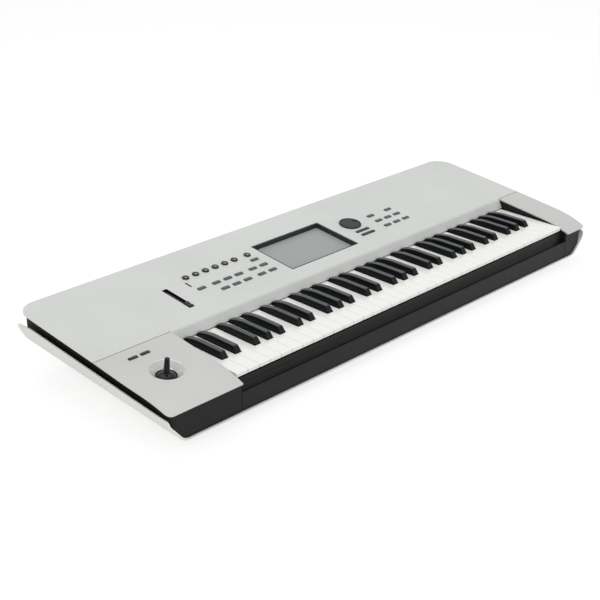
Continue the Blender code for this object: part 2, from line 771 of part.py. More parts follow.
def build_rear_panel(material):
    low = (LEFT_X + WALL_INSET, REAR_WALL_Y, -0.01)
    high = (RIGHT_X - WALL_INSET, REAR_WALL_Y + PANEL_SHEET, HEIGHT + 0.01)
    panel = add_object("rear_panel", box("rear_panel", low, high))
    boolean(panel, [case_space(CASE_SHEET + GAP), cover_space(GAP)], "INTERSECT")
    placed = []
    for kind, x, half_width, half_height in socket_places():
        wide = half_width + PANEL_HOLE_CLEAR
        tall = half_height + PANEL_HOLE_CLEAR
        hole = along_y("hole", kind, wide, tall, -0.01, 0.01)
        placed.append((hole, (KEYS_X + x, REAR_WALL_Y, SOCKET_Z), (0, 0, 0)))
    for x, width, height in ((INLET_X, INLET_WIDTH, INLET_HEIGHT), (ROCKER_X, ROCKER_WIDTH, ROCKER_HEIGHT)):
        hole = along_y("hole", "usb", width / 2 + PANEL_HOLE_CLEAR, height / 2 + PANEL_HOLE_CLEAR, -0.01, 0.01)
        placed.append((hole, (KEYS_X + x, REAR_WALL_Y, SOCKET_Z), (0, 0, 0)))
    boolean(panel, [add_object("rear_cuts", join_meshes("rear_cuts", placed))], "DIFFERENCE")
    return finish(clean(panel), material)


# Keys

def sharp_centres():
    """Centres of the five sharps in an octave, spread as twelve equal steps at the rear."""
    step = NATURALS_PER_OCTAVE * KEY_PITCH / 12
    shift = KEY_PITCH * 0.04
    return [step * (index + 0.5) + shift for index in (1, 3, 6, 8, 10)]


def sharps_beside(natural):
    """The sharps to the left and to the right of a natural, or None."""
    left = {1: 0, 2: 1, 4: 2, 5: 3, 6: 4}.get(natural)
    right = {0: 0, 1: 1, 3: 2, 4: 3, 5: 4}.get(natural)
    return left, right


def natural_mesh(octave_x, natural, overrun, plain=False):
    """One natural key: wide front, cut out beside the sharps, with a rounded front edge."""
    centres = sharp_centres()
    cut = SHARP_BASE / 2 + SHARP_CLEAR
    left = octave_x + natural * KEY_PITCH + KEY_GAP / 2
    right = left + KEY_PITCH - KEY_GAP
    beside = (None, None) if plain else sharps_beside(natural)
    narrow_left = left if beside[0] is None else octave_x + centres[beside[0]] + cut
    narrow_right = right if beside[1] is None else octave_x + centres[beside[1]] - cut
    front = KEY_FRONT_Y
    step = KEY_FRONT_Y + SHARP_FRONT - SHARP_CLEAR
    rear = HINGE_Y + overrun
    outline = [(left, front), (right, front), (right, step)]
    if narrow_right < right:
        outline.append((narrow_right, step))
    outline += [(narrow_right, rear), (narrow_left, rear)]
    if narrow_left > left:
        outline.append((narrow_left, step))
    outline.append((left, step))
    mesh = prism("natural", outline, "Z", KEY_BOTTOM, KEY_TOP)
    bm = bmesh.new()
    bm.from_mesh(mesh)
    nose = [edge for edge in bm.edges if is_nose(edge)]
    bmesh.ops.bevel(bm, geom=nose, offset=KEY_NOSE, segments=2, affect="EDGES", profile=0.5)
    bm.to_mesh(mesh)
    bm.free()
    return mesh, narrow_left, narrow_right


def is_nose(edge):
    return all(abs(v.co.y - KEY_FRONT_Y) < 1e-5 and abs(v.co.z - KEY_TOP) < 1e-5 for v in edge.verts)


def sharp_profile():
    """Top line of a sharp, front to rear: (distance behind the key fronts, height above the naturals)."""
    points = [(SHARP_FRONT, 0.0), (SHARP_FRONT + SHARP_NOSE * 0.88, SHARP_HEIGHT * 0.86)]
    points.append((SHARP_FRONT + SHARP_NOSE * 1.35, SHARP_HEIGHT))
    steps = ARC_STEPS
    for i in range(steps + 1):
        part = i / steps
        y = SHARP_REAR - SHARP_DIP_RUN * (1 - part)
        points.append((y, SHARP_HEIGHT - SHARP_DIP * part ** 2))
    return points


def sharp_mesh(centre_x):
    """One sharp: sides lean in, the nose slopes and the top dips towards the panel."""
    bm = bmesh.new()
    rings = []
    for y, height in sharp_profile():
        lean = (SHARP_BASE - SHARP_TOP) / 2 * height / SHARP_HEIGHT
        half = SHARP_BASE / 2
        levels = [(half, KEY_BOTTOM), (half, KEY_TOP), (half - lean, KEY_TOP + max(height, 0.0004))]
        ring = [bm.verts.new((centre_x - w, KEY_FRONT_Y + y, z)) for w, z in levels]
        ring += [bm.verts.new((centre_x + w, KEY_FRONT_Y + y, z)) for w, z in reversed(levels)]
        rings.append(ring)
    bm.faces.new(rings[0])
    bm.faces.new(rings[-1])
    for near, far in zip(rings, rings[1:]):
        for i in range(6):
            j = (i + 1) % 6
            bm.faces.new((near[i], near[j], far[j], far[i]))
    return finish_mesh("sharp", bm)


def rail_level(level):
    """Front and bottom of a set's hidden rail. Level 0 lies behind the hinge, the others below the keys."""
    if level == 0:
        return HINGE_Y + ARM_OVERRUN + RAIL_CLEAR, KEY_BOTTOM
    front = HINGE_Y - level * 4 * RAIL_DEPTH
    bottom = KEY_BOTTOM - RAIL_STEP * (2 * level - 1) - RAIL_HEIGHT
    return front, bottom


def add_rail(name, spans, level):
    """A rail that ties a set of keys together near the hinge, with a leg up to each key."""
    front, bottom = rail_level(level)
    top = KEY_TOP - ARM_DROP if level == 0 else bottom + RAIL_HEIGHT
    low_x = min(span[0] for span in spans)
    high_x = max(span[1] for span in spans)
    pieces = [add_object("rail", box("rail", (low_x, front, bottom), (high_x, front + RAIL_DEPTH, top)))]
    if level > 0:
        for low, high in spans:
            inset = (high - low) * 0.1
            leg_low = (low + inset, front + RAIL_DEPTH * 0.1, bottom + RAIL_HEIGHT * 0.5)
            leg_high = (high - inset, front + RAIL_DEPTH * 0.9, KEY_BOTTOM + ARM_DROP * 0.5)
            pieces.append(add_object("leg", box("leg", leg_low, leg_high)))
    return pieces


def place_on_hinge(obj):
    """Moves the origin of a key set onto its hinge axis."""
    hinge = Vector((0, HINGE_Y, KEY_BOTTOM))
    for vertex in obj.data.vertices:
        vertex.co -= hinge
    obj.location = hinge


def build_natural_set(name, octave_x, naturals, level, material, plain=False):
    pieces = []
    spans = []
    behind = 0 if level > 0 or plain else RAIL_CLEAR + RAIL_DEPTH / 2
    for natural in naturals:
        mesh, low, high = natural_mesh(octave_x, natural, ARM_OVERRUN + behind, plain)
        pieces.append(add_object("natural", mesh))
        spans.append((low, high))
    base = pieces[0]
    base.name = name
    others = pieces[1:]
    if len(naturals) > 1:
        others += add_rail(name, spans, level)
    if others:
        boolean(base, others, "UNION")
    place_on_hinge(base)
    return finish(base, material)


def build_sharp_set(name, octave_x, material):
    pieces = []
    spans = []
    for centre in sharp_centres():
        x = octave_x + centre
        pieces.append(add_object("sharp", sharp_mesh(x)))
        low = (x - ARM_WIDTH / 2, KEY_FRONT_Y + SHARP_REAR - ARM_DROP, KEY_BOTTOM)
        high = (x + ARM_WIDTH / 2, HINGE_Y + ARM_OVERRUN, KEY_TOP - ARM_DROP)
        pieces.append(add_object("arm", box("arm", low, high)))
        spans.append((low[0], high[0]))
    pieces += add_rail(name, spans, 2)
    base = pieces[0]
    base.name = name
    boolean(base, pieces[1:], "UNION")
    place_on_hinge(base)
    return finish(base, material)


def build_keys(natural_material, sharp_material):
    for octave in range(OCTAVES):
        octave_x = KEYS_X + octave * NATURALS_PER_OCTAVE * KEY_PITCH
        number = octave + 1
        build_natural_set("keys_cegb_%d" % number, octave_x, (0, 2, 4, 6), 0, natural_material)
        build_natural_set("keys_dfa_%d" % number, octave_x, (1, 3, 5), 1, natural_material)
        build_sharp_set("keys_sharps_%d" % number, octave_x, sharp_material)
    last_x = KEYS_X + (NATURALS - 1) * KEY_PITCH
    build_natural_set("key_top_c", last_x, (0,), 0, natural_material, plain=True)


def build_keybed(material):
    """Folded steel bed with the rib that every key rocks on."""
    sheet = BED_SHEET
    deck = KEY_BOTTOM - 2 * RAIL_DEPTH - 4 * RAIL_STEP
    front = FRONT_Y + SLIP_LEDGE + BED_FLANGE
    rear = HINGE_Y + 2 * BED_FLANGE
    rib = HINGE_Y
    floor = FLOOR_Z + GAP
    outline = [(front, floor), (front + BED_FLANGE, floor), (front + BED_FLANGE, floor + sheet)]
    outline += [(front + sheet, floor + sheet), (front + sheet, deck - sheet)]
    outline += [(rear - sheet, deck - sheet), (rear - sheet, floor + sheet)]
    outline += [(rear - BED_FLANGE, floor + sheet), (rear - BED_FLANGE, floor), (rear, floor), (rear, deck)]
    outline += [(rib + sheet / 2, deck), (rib + sheet / 2, KEY_BOTTOM - GAP - sheet / 2)]
    outline += [(rib, KEY_BOTTOM - GAP), (rib - sheet / 2, KEY_BOTTOM - GAP - sheet / 2)]
    outline += [(rib - sheet / 2, deck), (front, deck)]
    low = KEYS_X + 0.001
    high = KEYS_END_X - 0.001
    bed = add_object("keybed_chassis", prism("keybed_chassis", outline, "X", low, high))
    return finish(bed, material)


# Controls on the panels

def build_buttons(material):
    groups = {}
    for name, x, y, width, depth in button_places():
        groups.setdefault(name, []).append((x, y, width, depth))
    for name, members in groups.items():
        build_button_group(name, members, on_panel, PANEL_ANGLE, material)
    for i, x in enumerate(SWITCH_X):
        member = [(x, SWITCH_Y, SWITCH_WIDTH, SWITCH_DEPTH)]
        build_button_group("switch_%d" % (i + 1), member, on_cheek, CHEEK_ANGLE, material)


def build_button_group(name, members, place, angle, material):
    """Caps that stand on one thin web below the panel, which keeps them from falling out."""
    centre_x = sum(m[0] for m in members) / len(members)
    centre_y = sum(m[1] for m in members) / len(members)
    web_top = -PANEL_SHEET - GAP
    web_low = web_top - 0.001
    slope = 1 / math.cos(angle)
    pieces = []
    for x, y, width, depth in members:
        cap = bmesh.new()
        cap.from_mesh(centred_box("cap", width, depth, web_low + 0.0005, BUTTON_PROUD))
        rim = [edge for edge in cap.edges if all(v.co.z > BUTTON_PROUD - 1e-6 for v in edge.verts)]
        bmesh.ops.bevel(cap, geom=rim, offset=0.0006, segments=1, affect="EDGES")
        offset = (x - centre_x, (y - centre_y) * slope, 0)
        bmesh.ops.translate(cap, verts=cap.verts, vec=offset)
        pieces.append(add_object("cap", finish_mesh("cap", cap)))
    reach_x = max(abs(m[0] - centre_x) + m[2] / 2 for m in members) + BUTTON_SKIRT
    reach_y = max(abs(m[1] - centre_y) * slope + m[3] / 2 for m in members) + BUTTON_SKIRT
    web = add_object(name, centred_box(name, 2 * reach_x, 2 * reach_y, web_low, web_top))
    boolean(web, pieces, "UNION")
    web.location = place(centre_x, centre_y)
    web.rotation_euler = (angle, 0, 0)
    return finish(web, material)


def build_knobs(material):
    bottom = -BOARD_SUNK + GAP
    profile = [(0, KNOB_HEIGHT), (KNOB_RADIUS * 0.62, KNOB_HEIGHT), (KNOB_RADIUS * 0.80, KNOB_HEIGHT * 0.9)]
    profile += [(KNOB_RADIUS * 0.9, KNOB_HEIGHT * 0.45), (KNOB_RADIUS, KNOB_HEIGHT * 0.2)]
    profile += [(KNOB_RADIUS, GAP), (SHAFT_RADIUS, GAP), (SHAFT_RADIUS, bottom), (0, bottom)]
    for name, x, y in knob_places():
        knob = add_object(name, turned(name, profile, 16), on_panel(x, y), (PANEL_ANGLE, 0, 0))
        finish(knob, material)


def build_dial(material):
    bottom = -BOARD_SUNK + GAP
    edge = 0.0008
    profile = [(0, DIAL_HEIGHT), (DIAL_RADIUS - edge, DIAL_HEIGHT), (DIAL_RADIUS, DIAL_HEIGHT - edge)]
    profile += [(DIAL_RADIUS, GAP), (SHAFT_RADIUS, GAP), (SHAFT_RADIUS, bottom), (0, bottom)]
    dial = add_object("value_dial", turned("value_dial", profile, 40))
    scoop = [(0, 0.004), (DIMPLE_RADIUS, 0.004), (DIMPLE_RADIUS, DIAL_HEIGHT + 0.0002)]
    scoop += [(DIMPLE_RADIUS * 0.6, DIAL_HEIGHT - 0.0009), (0, DIAL_HEIGHT - 0.0012)]
    dimple = add_object("dimple", turned("dimple", scoop, 16), (DIMPLE_OFFSET, 0, 0))
    boolean(dial, [dimple], "DIFFERENCE")
    dial.location = on_panel(DIAL_X, DIAL_Y)
    dial.rotation_euler = (PANEL_ANGLE, 0, 0)
    return finish(dial, material)


def build_slider(material):
    """The slider's cap at the front end of its slot, on a stem down to the control board."""
    half = CAP_LENGTH / 2
    width = SLIDER_WIDTH - 2 * BUTTON_CLEAR
    stem_low = -BOARD_SUNK + GAP
    outline = [(-half, -PANEL_SHEET), (-half, CAP_PROUD), (-half * 0.35, CAP_PROUD * 0.55)]
    outline += [(half * 0.35, CAP_PROUD * 0.55), (half, CAP_PROUD), (half, -PANEL_SHEET)]
    outline += [(0.0015, -PANEL_SHEET), (0.0015, stem_low), (-0.0015, stem_low), (-0.0015, -PANEL_SHEET)]
    cap = add_object("slider_cap", prism("slider_cap", outline, "X", -width / 2, width / 2))
    cap.location = on_panel(SLIDER_X, SLIDER_FRONT + half + SIDE_GAP)
    cap.rotation_euler = (PANEL_ANGLE, 0, 0)
    return finish(cap, material)


def frame_mesh(name, outer, inner, low, high):
    """A rectangular ring, given by its outer and inner width and depth."""
    bm = bmesh.new()
    loops = []
    for size in (outer, inner):
        for z in (low, high):
            corners = ((-1, -1), (1, -1), (1, 1), (-1, 1))
            loops.append([bm.verts.new((i * size[0] / 2, j * size[1] / 2, z)) for i, j in corners])
    for a, b in ((0, 1), (1, 3), (3, 2), (2, 0)):
        for i in range(4):
            j = (i + 1) % 4
            bm.faces.new((loops[a][i], loops[a][j], loops[b][j], loops[b][i]))
    return finish_mesh(name, bm)


def build_display(bezel_material, module_material):
    tilt = (PANEL_ANGLE, 0, 0)
    place = on_panel(SCREEN_X, SCREEN_Y)
    outer = (SCREEN_WIDTH - 2 * GAP, SCREEN_DEPTH - 2 * GAP)
    inner = (outer[0] - 2 * BEZEL_WALL, outer[1] - 2 * BEZEL_WALL)
    flange = (outer[0] + 2 * BEZEL_FLANGE, outer[1] + 2 * BEZEL_FLANGE)
    top = -PANEL_SHEET - GAP
    bezel = add_object("display_bezel", frame_mesh("display_bezel", outer, inner, -SCREEN_SUNK, -GAP))
    rim_inner = (inner[0] + BEZEL_WALL, inner[1] + BEZEL_WALL)
    rim = add_object("rim", frame_mesh("rim", flange, rim_inner, top - 0.0015, top))
    boolean(bezel, [rim], "UNION")
    bezel.location = place
    bezel.rotation_euler = tilt
    finish(bezel, bezel_material)
    low = -SCREEN_SUNK - GAP - MODULE_THICKNESS
    module = centred_box("display_module", outer[0], outer[1], low, -SCREEN_SUNK - GAP)
    finish(add_object("display_module", module, place, tilt), module_material)


def build_control_board(material):
    """Circuit board below the panel, cut out round the display, on posts up to the panel."""
    tilt = (PANEL_ANGLE, 0, 0)
    slope = 1 / math.cos(PANEL_ANGLE)
    front = min(SLIDER_FRONT, LONG_ROWS[1], ROW_FRONT) - BOARD_MARGIN
    rear = KNOB_Y + BOARD_MARGIN
    left = SLIDER_X - 2 * BOARD_MARGIN
    right = RIGHT_GRID_X + 2 * BUTTON_PITCH + 2 * BOARD_MARGIN
    middle = ((left + right) / 2, (front + rear) / 2)
    size = (right - left, (rear - front) * slope)
    board = centred_box("control_board", size[0], size[1], -BOARD_SUNK - BOARD_SHEET, -BOARD_SUNK)
    board = add_object("control_board", board)
    cut_low = (SCREEN_X - middle[0], (SCREEN_Y - middle[1]) * slope)
    window = (SCREEN_WIDTH / 2 + BEZEL_FLANGE, SCREEN_DEPTH / 2 + BEZEL_FLANGE)
    hole_low = (cut_low[0] - window[0], cut_low[1] - window[1], -2 * BOARD_SUNK)
    hole_high = (cut_low[0] + window[0], cut_low[1] + window[1], 0)
    boolean(board, [add_object("cut", box("cut", hole_low, hole_high))], "DIFFERENCE")
    posts = []
    for i in (-1, 1):
        for j in (-1, 1):
            x = i * (size[0] / 2 - BOARD_MARGIN / 3)
            y = j * (size[1] / 2 - BOARD_MARGIN / 3)
            low = (x - 0.003, y - 0.003, -BOARD_SUNK - BOARD_SHEET / 2)
            high = (x + 0.003, y + 0.003, -PANEL_SHEET - GAP)
            posts.append(add_object("post", box("post", low, high)))
    boolean(board, posts, "UNION")
    board.location = on_panel(*middle)
    board.rotation_euler = tilt
    return finish(board, material)


# Joystick

def dome_profile():
    """Spherical cap with the stick on top, turned about the stick: (radius, height over the pivot)."""
    profile = [(0, STICK_TIP + HUB_DEPTH), (STICK_RADIUS * 0.7, STICK_TIP + HUB_DEPTH)]
    profile.append((STICK_RADIUS, STICK_TIP + HUB_DEPTH - STICK_RADIUS * 0.4))
    start = math.asin(STICK_RADIUS * 1.15 / DOME_RADIUS)
    steps = 7
    for i in range(steps + 1):
        angle = start + (DOME_ANGLE - start) * i / steps
        profile.append((DOME_RADIUS * math.sin(angle), DOME_RADIUS * math.cos(angle)))
    inner = DOME_RADIUS - DOME_SHEET
    post = HUB * 0.4
    inner_start = math.asin(post / inner)
    for i in range(steps + 1):
        angle = DOME_ANGLE + (inner_start - DOME_ANGLE) * i / steps
        profile.append((inner * math.sin(angle), inner * math.cos(angle)))
    profile += [(post, 0), (0, 0)]
    return profile


def bar_x(name, radius, length, segments=10):
    outline = [(radius * math.cos(2 * math.pi * i / segments), radius * math.sin(2 * math.pi * i / segments))
               for i in range(segments)]
    return prism(name, outline, "X", -length / 2, length / 2)


def bar_y(name, radius, length, segments=10):
    outline = [(radius * math.cos(2 * math.pi * i / segments), radius * math.sin(2 * math.pi * i / segments))
               for i in range(segments)]
    return prism(name, outline, "Y", -length / 2, length / 2)


def build_joystick(stick_material, ring_material, housing_material):
    tilt = (CHEEK_ANGLE, 0, 0)
    pivot = on_cheek(STICK_X, STICK_Y, -HUB_DEPTH)
    outer = RING_INNER + 2 * RING_WALL

    stick = add_object("joystick_stick", turned("joystick_stick", dome_profile(), 28))
    hub = add_object("hub", centred_box("hub", HUB, HUB, -HUB / 2, HUB / 2))
    pins = add_object("pins", bar_x("pins", PIVOT_PIN, outer - 2 * GAP))
    boolean(stick, [hub, pins], "UNION")
    finish(stick, stick_material)

    ring_sizes = ((outer, outer), (RING_INNER, RING_INNER))
    ring = frame_mesh("joystick_gimbal", *ring_sizes, -RING_HEIGHT / 2, RING_HEIGHT / 2)
    ring = add_object("joystick_gimbal", ring)
    reach = outer / 2 + CUP_SHEET + LUG_SHEET
    holes = add_object("holes", bar_x("holes", PIVOT_PIN + PIVOT_CLEAR, 2 * outer, 14))
    boolean(ring, [holes], "DIFFERENCE")
    stubs = []
    for side in (-1, 1):
        stub = add_object("stub", bar_y("stub", PIVOT_PIN, reach - outer / 2 + RING_WALL / 2))
        stub.location.y = side * (reach + outer / 2 - RING_WALL / 2) / 2
        stubs.append(stub)
    boolean(ring, stubs, "UNION")
    finish(ring, ring_material)

    inner = WELL_RADIUS + WELL_RIM + CUP_CLEAR - WELL_RIM
    wall = inner + CUP_SHEET
    rim = HUB_DEPTH - PANEL_SHEET - GAP
    floor = HUB_DEPTH - CUP_FLOOR
    cup = [(wall, rim), (wall, floor), (0, floor), (0, floor + CUP_SHEET), (inner, floor + CUP_SHEET)]
    cup.append((inner, rim))
    housing = add_object("joystick_housing", cup_mesh("joystick_housing", cup, 40))
    lugs = []
    for side in (-1, 1):
        y = side * (outer / 2 + CUP_SHEET * 0.5 + LUG_SHEET / 2)
        low = (-HUB, y - LUG_SHEET / 2, floor + CUP_SHEET / 2)
        high = (HUB, y + LUG_SHEET / 2, RING_HEIGHT)
        lugs.append(add_object("lug", box("lug", low, high)))
    boolean(housing, lugs, "UNION")
    bores = add_object("bores", bar_y("bores", PIVOT_PIN + PIVOT_CLEAR, 2 * (reach + LUG_SHEET), 14))
    boolean(housing, [bores], "DIFFERENCE")
    finish(housing, housing_material)

    for obj in (stick, ring, housing):
        obj.location = pivot
        obj.rotation_euler = tilt


def cup_mesh(name, profile, segments):
    """A turned cup whose floor meets the axis twice: outer profile first, then the inner one."""
    bm = bmesh.new()
    rings = []
    for radius, z in profile:
        if radius < 1e-6:
            rings.append([bm.verts.new((0, 0, z))])
            continue
        rings.append([bm.verts.new((radius * math.cos(2 * math.pi * i / segments),
                                    radius * math.sin(2 * math.pi * i / segments), z))
                      for i in range(segments)])
    pairs = [(rings[i], rings[(i + 1) % len(rings)]) for i in range(len(rings))]
    for first, second in pairs:
        if len(first) == 1 and len(second) == 1:
            continue
        for i in range(segments):
            j = (i + 1) % segments
            if len(first) == 1:
                bm.faces.new((first[0], second[i], second[j]))
            elif len(second) == 1:
                bm.faces.new((first[i], second[0], first[j]))
            else:
                bm.faces.new((first[i], second[i], second[j], first[j]))
    return finish_mesh(name, bm, 40)


# Boards, supply and rocker behind the rear panel

def build_main_board(material):
    """Main board on the case floor with its row of sockets against the rear panel."""
    rear = REAR_WALL_Y - GAP
    low_x = KEYS_X + MAIN_BOARD_X[0]
    high_x = KEYS_X + MAIN_BOARD_X[1]
    board_top = SOCKET_Z - JACK_BODY / 2
    board_low = board_top - BOARD_SHEET
    board = add_object("main_board", box("main_board", (low_x, rear - MAIN_BOARD_DEPTH, board_low),
                                         (high_x, rear - SIDE_GAP, board_top)))
    solids = []
    bores = []
    for kind, x, half_width, half_height in socket_places():
        body_half = half_width + SOCKET_WALL
        body_low = (KEYS_X + x - body_half, rear - SOCKET_DEPTH - SOCKET_WALL, board_low + BOARD_SHEET / 2)
        body_high = (KEYS_X + x + body_half, rear, SOCKET_Z + half_height + SOCKET_WALL)
        solids.append(add_object("socket", box("socket", body_low, body_high)))
        bore = along_y("bore", kind, half_width, half_height, -SOCKET_DEPTH, 0.01)
        bores.append((bore, (KEYS_X + x, rear, SOCKET_Z), (0, 0, 0)))
    for x in (low_x + STANDOFF * 2, high_x - STANDOFF * 2):
        for y in (rear - MAIN_BOARD_DEPTH + STANDOFF * 2, rear - STANDOFF * 8):
            low = (x - STANDOFF, y - STANDOFF, FLOOR_Z + GAP)
            high = (x + STANDOFF, y + STANDOFF, board_top - BOARD_SHEET / 2)
            solids.append(add_object("standoff", box("standoff", low, high)))
    boolean(board, solids, "UNION")
    boolean(board, [add_object("bores", join_meshes("bores", bores))], "DIFFERENCE")
    return finish(board, material)


def build_power_supply(material):
    """Supply box on the floor. The block at its rear holds the mains inlet's recess and the rocker's pocket."""
    rear = REAR_WALL_Y - GAP
    low = (KEYS_X + SUPPLY_X[0], rear - SUPPLY_DEPTH, FLOOR_Z + GAP)
    high = (KEYS_X + SUPPLY_X[1], rear, FLOOR_Z + GAP + SUPPLY_HEIGHT)
    supply = add_object("power_supply", box("power_supply", low, high))
    inlet = box("inlet", (-INLET_WIDTH / 2, -SOCKET_DEPTH, -INLET_HEIGHT / 2),
                (INLET_WIDTH / 2, 0.01, INLET_HEIGHT / 2))
    pocket = box("pocket", (-ROCKER_WIDTH / 2, -SOCKET_DEPTH, -ROCKER_HEIGHT / 2),
                 (ROCKER_WIDTH / 2, 0.01, ROCKER_HEIGHT / 2))
    block = rear - SOCKET_DEPTH - 2 * SUPPLY_SHEET
    room_low = (low[0] + SUPPLY_SHEET, low[1] + SUPPLY_SHEET, low[2] - SUPPLY_SHEET)
    room = box("room", room_low, (high[0] - SUPPLY_SHEET, block, high[2] - SUPPLY_SHEET))
    axle = bar_x("axle", PIVOT_PIN + PIVOT_CLEAR, ROCKER_WIDTH + 4 * PIVOT_PIN + 2 * GAP)
    placed = [(inlet, (KEYS_X + INLET_X, rear, SOCKET_Z), (0, 0, 0))]
    placed.append((pocket, (KEYS_X + ROCKER_X, rear, SOCKET_Z), (0, 0, 0)))
    cuts = add_object("cuts", join_meshes("cuts", placed))
    bore = add_object("axle", axle, (KEYS_X + ROCKER_X, rear - ROCKER_DEPTH / 2, SOCKET_Z))
    boolean(supply, [cuts, bore, add_object("room", room)], "DIFFERENCE")
    return finish(supply, material)


def build_power_switch(material):
    """Rocker with two faces at a slight angle, on an axle that rests in the supply's pocket."""
    swing = math.tan(math.radians(ROCKER_SWING_DEG))
    half = ROCKER_HEIGHT / 2 - 2 * SIDE_GAP - ROCKER_DEPTH * 0.5 * swing
    face = ROCKER_DEPTH / 2 + PANEL_SHEET * 0.7
    back = -ROCKER_DEPTH / 4
    outline = [(back, -half * 0.6), (face + half * swing, -half), (face, 0), (face + half * swing, half)]
    outline.append((back, half * 0.6))
    width = ROCKER_WIDTH - 2 * SIDE_GAP
    rocker = add_object("power_switch", prism("power_switch", outline, "X", -width / 2, width / 2))
    axle = add_object("axle", bar_x("axle", PIVOT_PIN, ROCKER_WIDTH + 4 * PIVOT_PIN))
    boolean(rocker, [axle], "UNION")
    rocker.location = (KEYS_X + ROCKER_X, REAR_WALL_Y - GAP - ROCKER_DEPTH / 2, SOCKET_Z)
    return finish(rocker, material)


def main():
    clear_scene()
    grey = make_material("light_grey_panel", (0.64, 0.65, 0.63), 0.5)
    cheek_grey = make_material("light_grey_cheek", (0.60, 0.60, 0.58), 0.5)
    cream = make_material("pale_case", (0.72, 0.69, 0.63), 0.5)
    black = make_material("black_plastic", (0.025, 0.025, 0.024), 0.55)
    ivory = make_material("natural_key", (0.84, 0.83, 0.80), 0.35)
    ebony = make_material("sharp_key", (0.018, 0.020, 0.022), 0.4)
    control = make_material("dark_control", (0.05, 0.055, 0.055), 0.5)
    glass = make_material("screen_glass", (0.33, 0.34, 0.34), 0.15)
    rubber = make_material("rubber", (0.02, 0.02, 0.02), 0.9)
    steel = make_material("steel", (0.5, 0.5, 0.5), 0.4, 1.0)
    board = make_material("circuit_board", (0.02, 0.10, 0.05), 0.5)
    plate = make_material("supply_case", (0.55, 0.55, 0.56), 0.4, 1.0)

    build_bottom_case(cream)
    build_top_panel(grey)
    build_left_cheek(cheek_grey)
    build_cheek("right_cheek_panel", RIGHT_X - SIDE_GAP, KEYS_END_X + WELL_MARGIN, cheek_grey)
    build_end_frame("left_end_frame", LEFT_X, KEYS_X - WELL_MARGIN, black)
    build_end_frame("right_end_frame", RIGHT_X, KEYS_END_X + WELL_MARGIN, black)
    build_key_slip(black)
    build_rear_panel(black)
    build_keys(ivory, ebony)
    build_keybed(steel)
    build_buttons(control)
    build_knobs(control)
    build_dial(control)
    build_slider(control)
    build_display(control, glass)
    build_control_board(board)
    build_joystick(ebony, steel, black)
    build_main_board(board)
    build_power_supply(plate)
    build_power_switch(ebony)
    foot_x = WIDTH / 2 - FOOT_INSET_X
    front = FRONT_Y + FOOT_INSET_FRONT
    rear = REAR_WALL_Y - FOOT_INSET_REAR
    for name, x, y in (("foot_front_left", -foot_x, front), ("foot_front_right", foot_x, front),
                       ("foot_rear_left", -foot_x, rear), ("foot_rear_right", foot_x, rear)):
        build_foot(name, x, y, rubber)


main()
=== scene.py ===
"""Looks of the music workstation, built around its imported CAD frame. Metres, in the frame's own axes."""

import math

import bmesh
import bpy
from mathutils import Matrix, Vector


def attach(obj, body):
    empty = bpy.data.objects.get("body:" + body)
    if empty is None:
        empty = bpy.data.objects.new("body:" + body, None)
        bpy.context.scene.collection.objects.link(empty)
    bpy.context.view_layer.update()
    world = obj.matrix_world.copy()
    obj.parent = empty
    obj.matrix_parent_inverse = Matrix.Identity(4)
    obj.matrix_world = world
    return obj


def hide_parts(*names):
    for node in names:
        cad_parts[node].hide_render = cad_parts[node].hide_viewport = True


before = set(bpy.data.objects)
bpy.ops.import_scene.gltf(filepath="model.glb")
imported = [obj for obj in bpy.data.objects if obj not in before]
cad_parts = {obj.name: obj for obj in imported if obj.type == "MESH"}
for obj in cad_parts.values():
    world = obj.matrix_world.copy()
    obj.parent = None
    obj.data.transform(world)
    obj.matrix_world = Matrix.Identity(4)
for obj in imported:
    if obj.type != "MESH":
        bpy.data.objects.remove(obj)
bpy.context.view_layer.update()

# Sizes of the CAD source
HEIGHT = 0.116
DEPTH = 0.370
LEFT_END = 0.152
RIGHT_END = 0.064
GAP = 0.0003
SIDE_GAP = 0.0005

KEY_PITCH = 0.0235
OCTAVES = 5
KEY_TOP = 0.075
KEY_THICKNESS = 0.0074
KEY_SETBACK = 0.0175
SHARP_FRONT = 0.0492
SHARP_REAR = 0.1385
SHARP_BASE = 0.0127
SHARP_TOP = 0.0095
SHARP_HEIGHT = 0.011
SHARP_DIP = 0.0058
SHARP_DIP_RUN = 0.036
SHARP_CLEAR = 0.001
HINGE_BACK = 0.200
ARM_OVERRUN = 0.003
ARM_WIDTH = 0.008
ARM_DROP = 0.003
RAIL_DEPTH = 0.005
RAIL_HEIGHT = 0.005
RAIL_STEP = 0.0045
RAIL_CLEAR = 0.001
WELL_MARGIN = 0.002

PANEL_SLOPE = 0.108
CHEEK_SLOPE = 0.120
PANEL_SHEET = 0.0025
SEAM_BACK = 0.1485
REAR_CORNER = 0.036
FRONT_CORNER = 0.010
ROLL_RUN = 0.062
ROLL_RADIUS = 0.220
LIP_LEAN = 0.008
LIP_CLEAR = 0.002
LIP_ROUND = 0.007
LIP_LAP = 0.012
END_NARROW = 0.0055
NARROW_RUN = 0.105
NARROW_DROP = 0.92

CASE_SHEET = 0.0025
FLARE_SLOPE_TOP = 0.100
FLARE_SLOPE_LOW = 0.0775
CHAMFER_ANGLE = math.radians(46)
FLARE_ROUND = 0.025
BILGE_ROUND = 0.025
BELLY_BOTTOM = 0.010
BELLY_BACK = 0.042
CASE_SETBACK = 0.002
WING_REAR = 0.003
WING_TIP_RUN = 0.040
WING_TIP_DROP = 0.0048
WING_TIP_ROUND = 0.003
WING_ROUND = 0.022
REAR_OVERHANG = 0.0235
WALL_INSET = 0.009
WALL_SHEET = 0.003
BLACK_CORNER = 0.012
FRONT_SETBACK = 0.005
SLIP_TOP = 0.0488
SLIP_LEDGE = 0.045

FOOT_RADIUS = 0.012
FOOT_INSET_X = 0.120
FOOT_INSET_FRONT = 0.070
FOOT_INSET_REAR = 0.060

